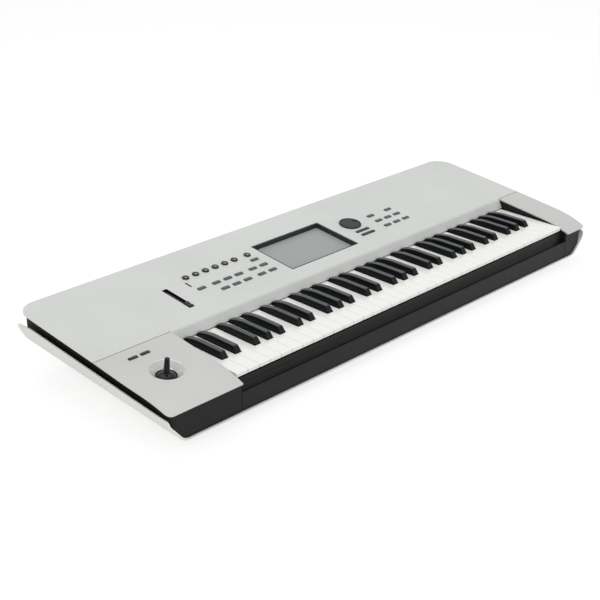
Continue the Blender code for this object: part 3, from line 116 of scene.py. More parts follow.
ROW_PITCH = 0.02275
ROW_FRONT = 0.0533
BUTTON_WIDTH = 0.016
BUTTON_DEPTH = 0.0066
BUTTON_PITCH = 0.0255
BUTTON_PROUD = 0.0018
BUTTON_CLEAR = 0.0004
BUTTON_SKIRT = 0.0016
LEFT_SINGLE_X = 0.1293
LEFT_GRID_X = 0.1620
CLUSTER_X = 0.2458
RIGHT_GRID_X = 0.5720
RIGHT_TOP_SHIFT = 0.002
LONG_WIDTH = 0.033
LONG_DEPTH = 0.0058
LONG_ROWS = (0.0661, 0.0518)
SWITCH_X = (-0.0963, -0.0733)
SWITCH_Y = -0.0246
SWITCH_WIDTH = 0.0165
SWITCH_DEPTH = 0.0052

KNOB_COUNT = 6
KNOB_X = 0.131
KNOB_PITCH = 0.0221
KNOB_LAST_X = 0.2723
KNOB_Y = 0.1188
KNOB_RADIUS = 0.0064
KNOB_HEIGHT = 0.0026
SHAFT_RADIUS = 0.003
SHAFT_CLEAR = 0.0005
BOARD_SUNK = 0.0130

DIAL_X = 0.5155
DIAL_Y = 0.0975
DIAL_RADIUS = 0.0208
DIAL_HEIGHT = 0.0026
DIMPLE_RADIUS = 0.0055
DIMPLE_OFFSET = 0.0120

SLIDER_X = 0.0760
SLIDER_FRONT = 0.0390
SLIDER_LENGTH = 0.0700
SLIDER_WIDTH = 0.0094
CAP_LENGTH = 0.0155
CAP_PROUD = 0.0030

SCREEN_X = 0.38475
SCREEN_Y = 0.0863
SCREEN_WIDTH = 0.1677
SCREEN_DEPTH = 0.1050
SCREEN_SUNK = 0.0080
BEZEL_WALL = 0.0014

STICK_X = -0.0762
STICK_Y = -0.0784
WELL_RADIUS = 0.0277
WELL_OPENING = 0.0167
WELL_DEPTH = 0.0098
WELL_RIM = 0.0025
STICK_TIP = 0.0205
STICK_RADIUS = 0.0034
DOME_RADIUS = 0.0250
DOME_TOP = 0.0055
DOME_SHEET = 0.0018
DOME_ANGLE = math.radians(70)

SOCKET_HEIGHT = 0.050
SOCKET_DEPTH = 0.0160
JACK_X = (0.120, 0.160, 0.215, 0.255, 0.300)
JACK_RADIUS = 0.0034
MIDI_X = (0.355, 0.385)
MIDI_RADIUS = 0.0078
USB_X = (0.430, 0.460)
USB_WIDTH = 0.0125
USB_HEIGHT = 0.0060
PANEL_HOLE_CLEAR = 0.0006
INLET_X = 0.775
INLET_WIDTH = 0.0270
INLET_HEIGHT = 0.0190
ROCKER_X = 0.720
ROCKER_WIDTH = 0.0120
ROCKER_HEIGHT = 0.0200
ROCKER_DEPTH = 0.0100
ROCKER_SWING = math.radians(8)

# Sizes of this file alone, or set here to what the photo shows
ARC_STEPS = 8
SAME = 1e-5
SEAM_GAP = 0.0014
EDGE_LEVELS = ((0, 0), (0, 0.0009), (0.0020, PANEL_SHEET))
NOSE_BOTTOM = 0.0140
FLARE_TOP_FRONT = 0.0606
FLARE_LOW_FRONT = 0.0484
TIP_ROUND = 0.007
LEFT_RIM = (1.15, 0.0040)
RIGHT_RIM = (0.55, 0.0)
RIM_FADE = 0.030
RIM_TAPER = 0.016
CHAMFER_LENGTH = 0.047
SLIP_ROUND = 0.0014
SLIP_DIP = 0.0008
SLIP_RISE = 0.0178
SLIP_SHELF = 0.0545
SLIP_END_GAP = 0.0010
COVE_ROUND = 0.0074
KEY_SPACE = 0.0005
KEY_ROUND = 0.0017
BUTTON_CORNER = 0.0011
BUTTON_CROWN = 0.00008
LINER_CLEAR = 0.0002
LINER_SHEET = 0.0004
PIN_END = -0.0155
CUT_REACH = 0.01
SCREEN_CUT = 0.05
MARK_X = 0.1192
MARK_Y = 0.098
CASE_SCREW_X = (-0.44, -0.27, -0.10, 0.10, 0.27, 0.44)
REAR_SCREW_X = (0.02, 0.18, 0.33, 0.50, 0.655, 0.83)

# The photo's camera and the light
CAMERA_PLACE = (-1.50407, -1.40783, 0.96431)
CAMERA_TURN = (65.3274, -0.1888, -45.3349)
CAMERA_LENS = 76.167
FLOOR_REACH = 15
WORLD_LIGHT = 0.80
FLOOR_GLOW = 0.76
LIGHTS = (
    ("overhead", (0.2, 0.6, 2.6), (0, 0, 0), (2.6, 1.8), 22),
    ("side", (-2.4, -0.6, 1.6), (0, 0, 0.05), (1.6, 1.2), 10),
    ("front", (0.4, -2.6, 0.9), (0, 0, 0.05), (2.4, 1.2), 12),
)

# Places that follow from the sizes
NATURALS_PER_OCTAVE = 7
NATURALS = OCTAVES * NATURALS_PER_OCTAVE + 1
KEY_SPAN = NATURALS * KEY_PITCH
WIDTH = LEFT_END + KEY_SPAN + RIGHT_END
LEFT_X = -WIDTH / 2
RIGHT_X = WIDTH / 2
KEYS_X = LEFT_X + LEFT_END
WELL_LOW_X = KEYS_X - WELL_MARGIN
WELL_HIGH_X = KEYS_X + KEY_SPAN + WELL_MARGIN
FRONT_Y = -DEPTH / 2
REAR_Y = DEPTH / 2
BLACK_FRONT_Y = FRONT_Y + FRONT_SETBACK
KEY_FRONT_Y = FRONT_Y + KEY_SETBACK
SEAM_Y = KEY_FRONT_Y + SEAM_BACK
HINGE_Y = KEY_FRONT_Y + HINGE_BACK
REAR_WALL_Y = REAR_Y - REAR_OVERHANG
KEY_BOTTOM = KEY_TOP - KEY_THICKNESS
PANEL_ANGLE = math.atan(PANEL_SLOPE)
CHEEK_ANGLE = math.atan(CHEEK_SLOPE)
SEAM_Z = HEIGHT - PANEL_SLOPE * (REAR_Y - SEAM_Y)
ROLL_Y = FRONT_Y + ROLL_RUN
HUB_DEPTH = DOME_TOP + DOME_RADIUS
SOCKET_Z = BELLY_BOTTOM + SOCKET_HEIGHT
ROUND_SOCKETS = [(x, JACK_RADIUS) for x in JACK_X] + [(x, MIDI_RADIUS) for x in MIDI_X]
SQUARE_SOCKETS = [(x, USB_WIDTH, USB_HEIGHT) for x in USB_X] + [(INLET_X, INLET_WIDTH, INLET_HEIGHT)]

# Small buttons: group, first x, how many side by side, rows counted from the front
BUTTON_GROUPS = (
    ("button_left_single", LEFT_SINGLE_X, 1, (1,)),
    ("buttons_left_rear_row", LEFT_GRID_X, 3, (1,)),
    ("buttons_left_front_row", LEFT_GRID_X, 3, (0,)),
    ("buttons_left_cluster", CLUSTER_X, 2, (0, 1)),
    ("button_left_top", CLUSTER_X + BUTTON_PITCH, 1, (2,)),
    ("button_right_top_a", RIGHT_GRID_X + RIGHT_TOP_SHIFT, 1, (2,)),
    ("button_right_top_b", RIGHT_GRID_X + 2 * BUTTON_PITCH, 1, (2,)),
    ("buttons_right_rear_row", RIGHT_GRID_X, 3, (1,)),
    ("buttons_right_front_row", RIGHT_GRID_X, 3, (0,)),
)

# A knob's rim and the dished top inside it, as (radius, z)
KNOB_RIM = [(0, 0.0016), (0.0040, 0.0016), (0.0042, 0.0023), (0.0046, KNOB_HEIGHT)]
KNOB_RIM += [(0.0053, KNOB_HEIGHT), (0.0059, 0.0023), (0.0062, 0.0018)]
KNOB_RIM += [(KNOB_RADIUS, 0.0009), (KNOB_RADIUS, GAP)]
KNOB_DISH = [(0, 0.00175), (0.0016, 0.00178), (0.0030, 0.0019), (0.0041, 0.0023)]
KNOB_DISH += [(0.0041, 0.0014), (0, 0.0014)]
SHAFT = [(SHAFT_RADIUS, GAP), (SHAFT_RADIUS, -BOARD_SUNK + GAP), (0, -BOARD_SUNK + GAP)]

# A sharp's nose: how far back, how high, how much slimmer
SHARP_NOSE = [(0.0, 0.0008, 0.0007), (0.0003, 0.0016, 0.0002)]
SHARP_NOSE += [(0.0008, 0.0026, 0.0), (0.0050, 0.0094, 0.0), (0.0056, 0.0101, 0.0)]
SHARP_NOSE += [(0.0063, 0.0106, 0.0), (0.0072, 0.0109, 0.0), (0.0085, SHARP_HEIGHT, 0.0)]


def narrowing(y):
    """How far each side has come in, in plan, where it nears the front."""
    return END_NARROW * max(1 - (y - FRONT_Y) / NARROW_RUN, 0.0) ** 2


def panel_z(y):
    return HEIGHT - PANEL_SLOPE * (REAR_Y - y)


def cheek_z(y):
    z = SEAM_Z - CHEEK_SLOPE * (SEAM_Y - y)
    if y < ROLL_Y:
        z -= (ROLL_Y - y) ** 2 / (2 * ROLL_RADIUS)
    return z


def on_slope(x, y, height, angle):
    """Frame of a control on a sloped sheet: its Z is the sheet's normal."""
    place = Vector((KEYS_X + x, SEAM_Y + y, height(SEAM_Y + y)))
    return Matrix.Translation(place) @ Matrix.Rotation(angle, 4, "X")


def on_panel(x, y):
    return on_slope(x, y, panel_z, PANEL_ANGLE)


def on_cheek(x, y):
    return on_slope(x, y, cheek_z, CHEEK_ANGLE)


def on_rear(x):
    """Frame of a rear socket: its Z points out of the rear wall, its Y up."""
    place = Vector((KEYS_X + x, REAR_WALL_Y + PANEL_SHEET, SOCKET_Z))
    turn = Matrix.Rotation(math.pi, 4, "Z") @ Matrix.Rotation(math.pi / 2, 4, "X")
    return Matrix.Translation(place) @ turn


# Materials

class Nodes:
    """Short calls for building one tree of shader nodes."""

    def __init__(self, owner):
        owner.use_nodes = True
        self.tree = owner.node_tree

    def add(self, kind, values=()):
        node = self.tree.nodes.new("ShaderNode" + kind)
        for name, value in dict(values).items():
            node.inputs[name].default_value = value
        return node

    def link(self, source, target):
        self.tree.links.new(source, target)

    def seen_directly(self):
        """1 for camera, glossy and transmission rays: what a person sees, also in reflections."""
        path = self.add("LightPath")
        total = path.outputs["Is Camera Ray"]
        for name in ("Is Glossy Ray", "Is Transmission Ray"):
            either = self.add("Math")
            either.operation = "MAXIMUM"
            self.link(total, either.inputs[0])
            self.link(path.outputs[name], either.inputs[1])
            total = either.outputs[0]
        return total

    def surround(self, lighting, shown, kind):
        """Lights the scene with the first shader and shows the second."""
        mix = self.add("MixShader")
        self.link(self.seen_directly(), mix.inputs["Fac"])
        self.link(lighting.outputs[0], mix.inputs[1])
        self.link(shown.outputs[0], mix.inputs[2])
        self.link(mix.outputs[0], self.add(kind).inputs["Surface"])


class Surface(Nodes):
    """The nodes of one material of the instrument."""

    def __init__(self, name):
        self.material = bpy.data.materials.new(name)
        super().__init__(self.material)
        self.shader = self.tree.nodes["Principled BSDF"]
        self.coords = self.add("TexCoord").outputs["Object"]

    def feed(self, name, source):
        """Gives one of the shader's inputs a number or another node's output."""
        if isinstance(source, float):
            self.shader.inputs[name].default_value = source
        else:
            self.link(source, self.shader.inputs[name])

    def noise(self, scale, detail=2.0, stretch=(1, 1, 1), rough=0.5):
        mapping = self.add("Mapping", {"Scale": stretch})
        self.link(self.coords, mapping.inputs["Vector"])
        node = self.add("TexNoise", {"Scale": scale, "Detail": detail, "Roughness": rough})
        self.link(mapping.outputs["Vector"], node.inputs["Vector"])
        return node.outputs["Fac"]

    def spread(self, value, low, high, start=0.3, end=0.7):
        node = self.add("MapRange", {"From Min": start, "From Max": end, "To Min": low, "To Max": high})
        self.link(value, node.inputs["Value"])
        return node.outputs["Result"]

    def tint(self, factor, color, low, high):
        """Base colour, from low to high times the given one."""
        node = self.add("Mix")
        node.data_type = "RGBA"
        for name, strength in (("A", low), ("B", high)):
            node.inputs[name].default_value = (*(min(c * strength, 1.0) for c in color), 1.0)
        self.link(factor, node.inputs["Factor"])
        self.feed("Base Color", node.outputs["Result"])

    def bump(self, height, distance, strength, under=None):
        node = self.add("Bump", {"Distance": distance, "Strength": strength})
        self.link(height, node.inputs["Height"])
        if under is not None:
            self.link(under, node.inputs["Normal"])
        return node.outputs["Normal"]


def moulded(name, color, roughness, grain=2400, depth=0.00002, mottle=0.06, specular=0.25,
            coat=0.0, metallic=0.0):
    """Moulded plastic: fine spark-eroded grain, faint cloudiness and uneven gloss."""
    n = Surface(name)
    n.tint(n.spread(n.noise(9, 3), 0, 1), color, 1 - mottle, 1 + mottle)
    n.feed("Roughness", n.spread(n.noise(70, 3), roughness - 0.04, roughness + 0.04))
    fine = n.bump(n.noise(grain, 2), depth, 0.6)
    n.feed("Normal", n.bump(n.noise(14, 1), 0.0002, 0.25, fine))
    n.feed("Specular IOR Level", specular)
    n.feed("Metallic", metallic)
    if coat:
        n.feed("Coat Weight", coat)
        n.feed("Coat Roughness", 0.08)
    return n.material


def metal(name, color, roughness, stretch=(1, 60, 60)):
    """Plain sheet or turned metal with fine brush lines."""
    n = Surface(name)
    lines = n.noise(40, 4, stretch, 0.7)
    n.tint(n.spread(lines, 0, 1), color, 0.88, 1.06)
    n.feed("Roughness", n.spread(lines, roughness - 0.08, roughness + 0.1))
    n.feed("Normal", n.bump(lines, 0.00002, 0.5))
    n.feed("Metallic", 1.0)
    return n.material


def rubber_like(name, color):
    n = Surface(name)
    n.tint(n.spread(n.noise(300, 4), 0, 1), color, 0.8, 1.4)
    n.feed("Roughness", n.spread(n.noise(120, 3), 0.75, 0.95))
    n.feed("Normal", n.bump(n.noise(2500, 3), 0.00005, 0.8))
    return n.material


def circuit(name, color):
    """Solder mask with faint track lines."""
    n = Surface(name)
    tracks = n.add("TexVoronoi", {"Scale": 90})
    tracks.distance = "MANHATTAN"
    n.link(n.coords, tracks.inputs["Vector"])
    lines = n.spread(tracks.outputs["Distance"], 0, 1, 0.35, 0.4)
    n.tint(lines, color, 1.6, 1.0)
    n.feed("Normal", n.bump(lines, 0.00004, 0.5))
    n.feed("Roughness", n.spread(n.noise(60), 0.35, 0.5))
    return n.material


def screen_glass(name, color):
    """Switched-off panel under matt glass: faint smears and cloudiness."""
    n = Surface(name)
    n.tint(n.spread(n.noise(12, 2), 0, 1), color, 0.985, 1.015)
    n.feed("Roughness", n.spread(n.noise(30, 3, (1, 2.5, 1)), 0.32, 0.42))
    n.feed("Normal", n.bump(n.noise(3000, 1), 0.000008, 0.4))
    n.feed("Specular IOR Level", 0.3)
    return n.material


# Grain, its depth, mottle and specular level
SHELL_SKIN = (1800, 0.00003, 0.03, 0.5)
FRAME_SKIN = (1500, 0.00005, 0.08, 0.15)

PANEL = moulded("panel_grey", (0.604, 0.617, 0.600), 0.42, *SHELL_SKIN)
CHEEK = moulded("cheek_grey", (0.548, 0.553, 0.538), 0.42, *SHELL_SKIN)
FUNNEL = moulded("funnel_grey", (0.560, 0.565, 0.550), 0.17, 2600, 0.000006, 0.01, 0.5, metallic=0.35)
CREAM = moulded("case_cream", (0.800, 0.790, 0.750), 0.45, *SHELL_SKIN)
BLACK = moulded("frame_black", (0.0105, 0.0108, 0.0100), 0.42, *FRAME_SKIN)
IVORY = moulded("natural_white", (0.880, 0.875, 0.850), 0.22, 2500, 0.000008, 0.008, 0.5, coat=0.3)
SLIP_BLACK = moulded("slip_black", (0.0132, 0.0134, 0.0126), 0.42, *FRAME_SKIN)
# Painted light: one black in two copies. The darker, less glossy one is painted shade on the sharps' sides
# and in the slip's cove. The lighter, glossier one is a painted highlight on the sharps' tops.
SHADED_BLACK = moulded("sharp_black_painted_shade", (0.0035, 0.0045, 0.0055), 0.34, 2200, mottle=0.10, specular=0.16)
LIT_SHARP_TOP = moulded("sharp_top_painted_highlight", (0.0230, 0.0265, 0.0285), 0.34, 2200, mottle=0.10, specular=0.45)
CONTROL = moulded("control_grey", (0.078, 0.083, 0.081), 0.40, specular=0.3)
TRIM = moulded("trim_black", (0.0200, 0.0235, 0.0240), 0.36, mottle=0.08)
KNOB = moulded("knob_black", (0.008, 0.009, 0.010), 0.30, mottle=0.08)
KNOB_TOP = moulded("knob_grey", (0.040, 0.044, 0.044), 0.30, specular=0.4)
DIAL = moulded("dial_slate", (0.0165, 0.0240, 0.0250), 0.34, specular=0.16)
GLOSS = moulded("stick_black", (0.0045, 0.0060, 0.0085), 0.14, 900, 0.000006, 0.05, 0.22)
BEZEL = moulded("bezel_slate", (0.030, 0.036, 0.039), 0.38, 2200)
SLOT = moulded("slot_black", (0.003, 0.003, 0.003), 0.6, 2200, specular=0.1)
POINTER = moulded("pointer_white", (0.75, 0.76, 0.74), 0.4, 2500, 0.00001, 0.03, 0.5)
SCREEN = screen_glass("screen_grey", (0.332, 0.342, 0.339))
RUBBER = rubber_like("foot_rubber", (0.020, 0.020, 0.020))
STEEL = metal("bed_steel", (0.42, 0.42, 0.42), 0.42)
ZINC = metal("screw_zinc", (0.10, 0.10, 0.105), 0.35, (1, 1, 1))
NICKEL = metal("socket_nickel", (0.60, 0.60, 0.58), 0.25, (1, 1, 1))
TIN = metal("supply_tin", (0.55, 0.55, 0.56), 0.38)
BOARD = circuit("board_green", (0.012, 0.075, 0.035))

# Hidden and inner nodes that keep their CAD shape
INNER_NODES = {
    "keybed_chassis": STEEL,
    "control_board": BOARD,
    "main_board": BOARD,
    "power_supply": TIN,
    "joystick_gimbal": STEEL,
    "joystick_housing": KNOB,
}


# Mesh tools

def new_object(name, mesh):
    obj = bpy.data.objects.new(name, mesh)
    bpy.context.scene.collection.objects.link(obj)
    return obj


def new_mesh(name, bm):
    bmesh.ops.recalc_face_normals(bm, faces=bm.faces)
    mesh = bpy.data.meshes.new(name)
    bm.to_mesh(mesh)
    bm.free()
    return mesh


def temporary(bm):
    return new_object("temporary", new_mesh("temporary", bm))


def result_of(obj):
    """The object's mesh with its modifiers applied, as a bmesh. The object goes."""
    bpy.context.view_layer.update()
    graph = bpy.context.evaluated_depsgraph_get()
    bm = bmesh.new()
    bm.from_mesh(obj.evaluated_get(graph).to_mesh())
    obj.evaluated_get(graph).to_mesh_clear()
    bpy.data.objects.remove(obj, do_unlink=True)
    return bm


def combine(first, others, operation):
    """Exact union, cut or trim of bmeshes."""
    base = temporary(first)
    tools = [temporary(other) for other in others]
    for tool in tools:
        modifier = base.modifiers.new(operation, "BOOLEAN")
        modifier.operation = operation
        modifier.solver = "EXACT"
        modifier.object = tool
    bm = result_of(base)
    for tool in tools:
        bpy.data.objects.remove(tool, do_unlink=True)
    bmesh.ops.remove_doubles(bm, verts=bm.verts, dist=1e-6)
    bmesh.ops.dissolve_limit(bm, angle_limit=math.radians(0.1), verts=bm.verts, edges=bm.edges)
    return bm


def together(parts):
    """One bmesh from several that don't meet."""
    bm = bmesh.new()
    for part in parts:
        mesh = bpy.data.meshes.new("part")
        part.to_mesh(mesh)
        part.free()
        bm.from_mesh(mesh)
        bpy.data.meshes.remove(mesh)
    return bm


def moved(bm, matrix):
    bm.transform(matrix)
    return bm


def repeated(make, places):
    """One bmesh with the shape that make() gives at each of the places."""
    return together([moved(make(), place) for place in places])


def piece(name, bm, material, body="case", replaces=(),
          bevel=0.0, segments=2, smooth=40):
    """A finished piece of the instrument that rides on a body."""
    mesh = new_mesh(name, bm)
    mesh.materials.append(material)
    obj = new_object(name, mesh)
    if bevel:
        modifier = obj.modifiers.new("edges", "BEVEL")
        modifier.width = bevel
        modifier.segments = segments
        modifier.limit_method = "ANGLE"
        modifier.angle_limit = math.radians(40)
    mesh.shade_smooth()
    mesh.set_sharp_from_angle(angle=math.radians(smooth))
    normals = obj.modifiers.new("normals", "WEIGHTED_NORMAL")
    normals.keep_sharp = True
    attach(obj, body)
    if replaces:
        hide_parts(*replaces)
    return obj


def repaint(obj, material, wanted):
    """Gives the faces that wanted() picks a second material."""
    obj.data.materials.append(material)
    for face in obj.data.polygons:
        if wanted(face):
            face.material_index = 1


def skin(bm, rings):
    """Faces from each ring to the next one."""
    faces = []
    for near, far in zip(rings, rings[1:]):
        for i in range(len(near)):
            j = (i + 1) % len(near)
            faces.append(bm.faces.new((near[i], near[j], far[j], far[i])))
    return faces


def loft(sections):
    bm = bmesh.new()
    rings = [[bm.verts.new(point) for point in section] for section in sections]
    bm.faces.new(rings[0])
    bm.faces.new(rings[-1])
    skin(bm, rings)
    bmesh.ops.recalc_face_normals(bm, faces=bm.faces)
    return bm


def prism(outline, axis, low, high):
    """A solid along X from (y, z) points, or along Z from (x, y) points."""
    if axis == "X":
        return loft([[(level, y, z) for y, z in outline] for level in (low, high)])
    return loft([[(x, y, level) for x, y in outline] for level in (low, high)])


def box(low, high):
    outline = [(low[0], low[1]), (high[0], low[1]), (high[0], high[1]), (low[0], high[1])]
    return prism(outline, "Z", low[2], high[2])


def framed(outer, inner, low, high, reach=CUT_REACH):
    """A frame or ring along Z: the outer outline without the inner one."""
    return combine(prism(outer, "Z", low, high), [prism(inner, "Z", -reach, reach)], "DIFFERENCE")


def circle(radius, count=32):
    angles = [2 * math.pi * i / count for i in range(count)]
    return [(radius * math.cos(angle), radius * math.sin(angle)) for angle in angles]


def quarter(steps):
    """Sine and cosine over a quarter turn, both ends included."""
    angles = [math.pi / 2 * k / steps for k in range(steps + 1)]
    return [(math.sin(angle), math.cos(angle)) for angle in angles]


def turned(profile, segments=40):
    """(radius, z) points, from the axis and back to it or all round a closed ring, turned about Z."""
    bm = bmesh.new()
    rings = []
    for radius, z in profile:
        points = circle(radius, segments) if radius > 1e-6 else [(0, 0)]
        rings.append([bm.verts.new((x, y, z)) for x, y in points])
    if len(rings[0]) > 1:
        rings.append(rings[0])
    for upper, lower in zip(rings, rings[1:]):
        for i in range(segments):
            j = i + 1
            way_round = ((upper, i), (lower, i), (lower, j), (upper, j))
            corners = list(dict.fromkeys(row[k % len(row)] for row, k in way_round))
            if len(corners) > 2:
                bm.faces.new(corners)
    bmesh.ops.recalc_face_normals(bm, faces=bm.faces)
    return bm


def round_bar(radius, low, high, segments=24):
    return turned([(0, high), (radius, high), (radius, low), (0, low)], segments)


def ring(outer, inner, low, high):
    return turned([(inner, high), (outer, high), (outer, low), (inner, low)])


def fillet(points, radii, steps=12):
    """The path with its inner corners rounded. A radius of 0 keeps a corner."""
    path = [points[0]]
    for before, here, after, radius in zip(points, points[1:], points[2:], radii):
        corner = Vector(here)
        if radius <= 0:
            path.append(tuple(corner))
            continue
        back = (Vector(before) - corner).normalized()
        ahead = (Vector(after) - corner).normalized()
        half = back.angle(ahead) / 2
        reach = radius / math.tan(half)
        centre = corner + (back + ahead).normalized() * (radius / math.sin(half))
        start = corner + back * reach - centre
        end = corner + ahead * reach - centre
        total = start.angle(end)
        for k in range(steps + 1):
            turn = k / steps
            mix = start * math.sin((1 - turn) * total) + end * math.sin(turn * total)
            path.append(tuple(centre + mix / math.sin(total)))
    path.append(points[-1])
    return path


def rounded_rectangle(width, depth, radius, steps=4):
    points = []
    for i, (sx, sy) in enumerate(((1, 1), (-1, 1), (-1, -1), (1, -1))):
        for k in range(steps + 1):
            angle = math.pi / 2 * (i + k / steps)
            x = sx * (width / 2 - radius) + radius * math.cos(angle)
            y = sy * (depth / 2 - radius) + radius * math.sin(angle)
            points.append((x, y))
    return points


def plate(width, depth, radius, low, high):
    return prism(rounded_rectangle(width, depth, radius), "Z", low, high)


def cap(width, depth, radius, low, high, edge, crown=0.0):
    """A keycap-like block: rounded in plan, with a rounded top edge and a slightly raised middle."""
    bm = bmesh.new()
    rings = []
    for inset, z in [(0, low)] + [(edge * (1 - c), high - edge * (1 - s)) for s, c in quarter(3)]:
        corner = max(radius - inset, radius * 0.3)
        outline = rounded_rectangle(width - 2 * inset, depth - 2 * inset, corner)
        rings.append([bm.verts.new((x, y, z)) for x, y in outline])
    bm.faces.new(rings[0])
    skin(bm, rings)
    rim = rings[-1]
    top = bm.verts.new((0, 0, high + crown))
    for near, far in zip(rim, rim[1:] + rim[:1]):
        bm.faces.new((near, far, top))
    bmesh.ops.recalc_face_normals(bm, faces=bm.faces)
    return bm


# Camera, lights and stage

def build_camera():
    data = bpy.data.cameras.new("camera")
    data.sensor_width = 36
    data.lens = CAMERA_LENS
    data.clip_start = 0.05
    data.clip_end = 60
    camera = new_object("camera", data)
    camera.location = CAMERA_PLACE
    camera.rotation_euler = [math.radians(angle) for angle in CAMERA_TURN]
    bpy.context.scene.camera = camera


def build_world():
    world = bpy.data.worlds.new("studio")
    bpy.context.scene.world = world
    nodes = Nodes(world)
    nodes.tree.nodes.clear()
    lighting = nodes.add("Background", {"Strength": WORLD_LIGHT})
    shown = nodes.add("Background", {"Color": (1, 1, 1, 1), "Strength": 1.0})
    nodes.surround(lighting, shown, "OutputWorld")


def build_floor():
    low = (-FLOOR_REACH, -FLOOR_REACH, -0.02)
    floor = new_object("floor", new_mesh("floor", box(low, (FLOOR_REACH, FLOOR_REACH, 0))))
    material = bpy.data.materials.new("floor_white")
    nodes = Nodes(material)
    nodes.tree.nodes.clear()
    lighting = nodes.add("BsdfDiffuse", {"Color": (0.80, 0.80, 0.80, 1)})
    pale = nodes.add("BsdfDiffuse", {"Color": (0.30, 0.30, 0.30, 1)})
    glow = nodes.add("Emission", {"Strength": FLOOR_GLOW})
    shown = nodes.add("AddShader")
    nodes.link(pale.outputs[0], shown.inputs[0])
    nodes.link(glow.outputs[0], shown.inputs[1])
    nodes.surround(lighting, shown, "OutputMaterial")
    floor.data.materials.append(material)


def build_lights():
    for name, location, target, size, power in LIGHTS:
        data = bpy.data.lights.new(name, "AREA")
        data.shape = "RECTANGLE"
        data.size, data.size_y = size
        data.energy = power
        light = new_object(name, data)
        light.location = location
        light.rotation_euler = (Vector(target) - Vector(location)).to_track_quat("-Z", "Y").to_euler()


# Lower case

def meet(point_a, way_a, point_b, way_b):
    cross = way_a[0] * way_b[1] - way_a[1] * way_b[0]
    dx = point_b[0] - point_a[0]
    dy = point_b[1] - point_a[1]
    along = (dx * way_b[1] - dy * way_b[0]) / cross
    return (point_a[0] + way_a[0] * along, point_a[1] + way_a[1] * along)


def side_profile(y, inset, rim=(1.0, 0.0)):
    """One side of the case in section. Rim scales the sheet at its front edge and thickens its shoulder."""
    run = y - FRONT_Y
    inset *= 1 + (rim[0] - 1) * max(1 - run / RIM_FADE, 0.0)
    extra = rim[1] * max(1 - run / RIM_TAPER, 0.0) if inset else 0.0
    narrow = narrowing(y)
    top = FLARE_TOP_FRONT + FLARE_SLOPE_TOP * run - NARROW_DROP * narrow
    low = FLARE_LOW_FRONT + FLARE_SLOPE_LOW * run - NARROW_DROP * narrow
    fade = min(max(run / BELLY_BACK, 0.0), 1.0)
    bottom = NOSE_BOTTOM + (BELLY_BOTTOM - NOSE_BOTTOM) * fade
    deep = inset + extra
    inwards = (math.sin(CHAMFER_ANGLE) * deep, low + math.cos(CHAMFER_ANGLE) * deep)
    steep = CHAMFER_ANGLE + extra / CHAMFER_LENGTH
    way = (math.cos(steep), -math.sin(steep))
    shoulder = meet((inset, 0), (0, 1), inwards, way)
    foot = meet(inwards, way, (0, bottom + inset), (1, 0))
    end = (foot[0] + BILGE_ROUND, bottom + inset)
    # The shoulder's round stays shorter than the edge above it
    room = (top - shoulder[1]) * math.tan(math.radians(90) - (math.radians(90) - CHAMFER_ANGLE) / 2)
    radii = (min(FLARE_ROUND - inset, 0.97 * room), BILGE_ROUND - inset)
    return [(x + narrow, z) for x, z in fillet([(inset, top), shoulder, foot, end], radii, 10)]


def case_section(y, inset):
    left = [(LEFT_X + x, y, z) for x, z in side_profile(y, inset, LEFT_RIM)]
    right = [(RIGHT_X - x, y, z) for x, z in reversed(side_profile(y, inset, RIGHT_RIM))]
    return left + right


def case_stations():
    first = [CASE_SETBACK + (BELLY_BACK - CASE_SETBACK) * i / 4 for i in range(5)]
    then = [BELLY_BACK + (NARROW_RUN - BELLY_BACK) * i / 4 for i in range(1, 5)]
    return [FRONT_Y + run for run in first + then] + [REAR_Y - WING_REAR]


def case_space(inset):
    """The room inside the lower case, open at the top."""
    lid = HEIGHT + REAR_CORNER
    sections = []
    for y in [FRONT_Y - CASE_SETBACK] + case_stations()[:-1] + [REAR_Y + REAR_CORNER]:
        section = case_section(y, inset)
        section[0] = (section[0][0], y, lid)
        section[-1] = (section[-1][0], y, lid)
        sections.append(section)
    return loft(sections)


def roll_stations():
    return [FRONT_Y + ROLL_RUN * i / ARC_STEPS for i in range(ARC_STEPS + 1)]


def cover_space(clearance):
    """The room under the cheeks and the top panel."""
    drop = PANEL_SHEET / math.cos(CHEEK_ANGLE) + clearance
    front = FRONT_Y - REAR_CORNER
    rear = REAR_Y + REAR_CORNER
    outline = [(front, cheek_z(FRONT_Y) - drop - REAR_CORNER)]
    outline += [(y, cheek_z(y) - drop * 1.12) for y in roll_stations()]
    outline += [(SEAM_Y, SEAM_Z - drop), (rear, panel_z(rear) - drop)]
    outline += [(rear, -REAR_CORNER), (front, -REAR_CORNER)]
    return prism(outline, "X", LEFT_X - REAR_CORNER, RIGHT_X + REAR_CORNER)


def trimmed(bm):
    """What lies inside the case and under its covers."""
    return combine(bm, [case_space(CASE_SHEET + GAP), cover_space(GAP)], "INTERSECT")


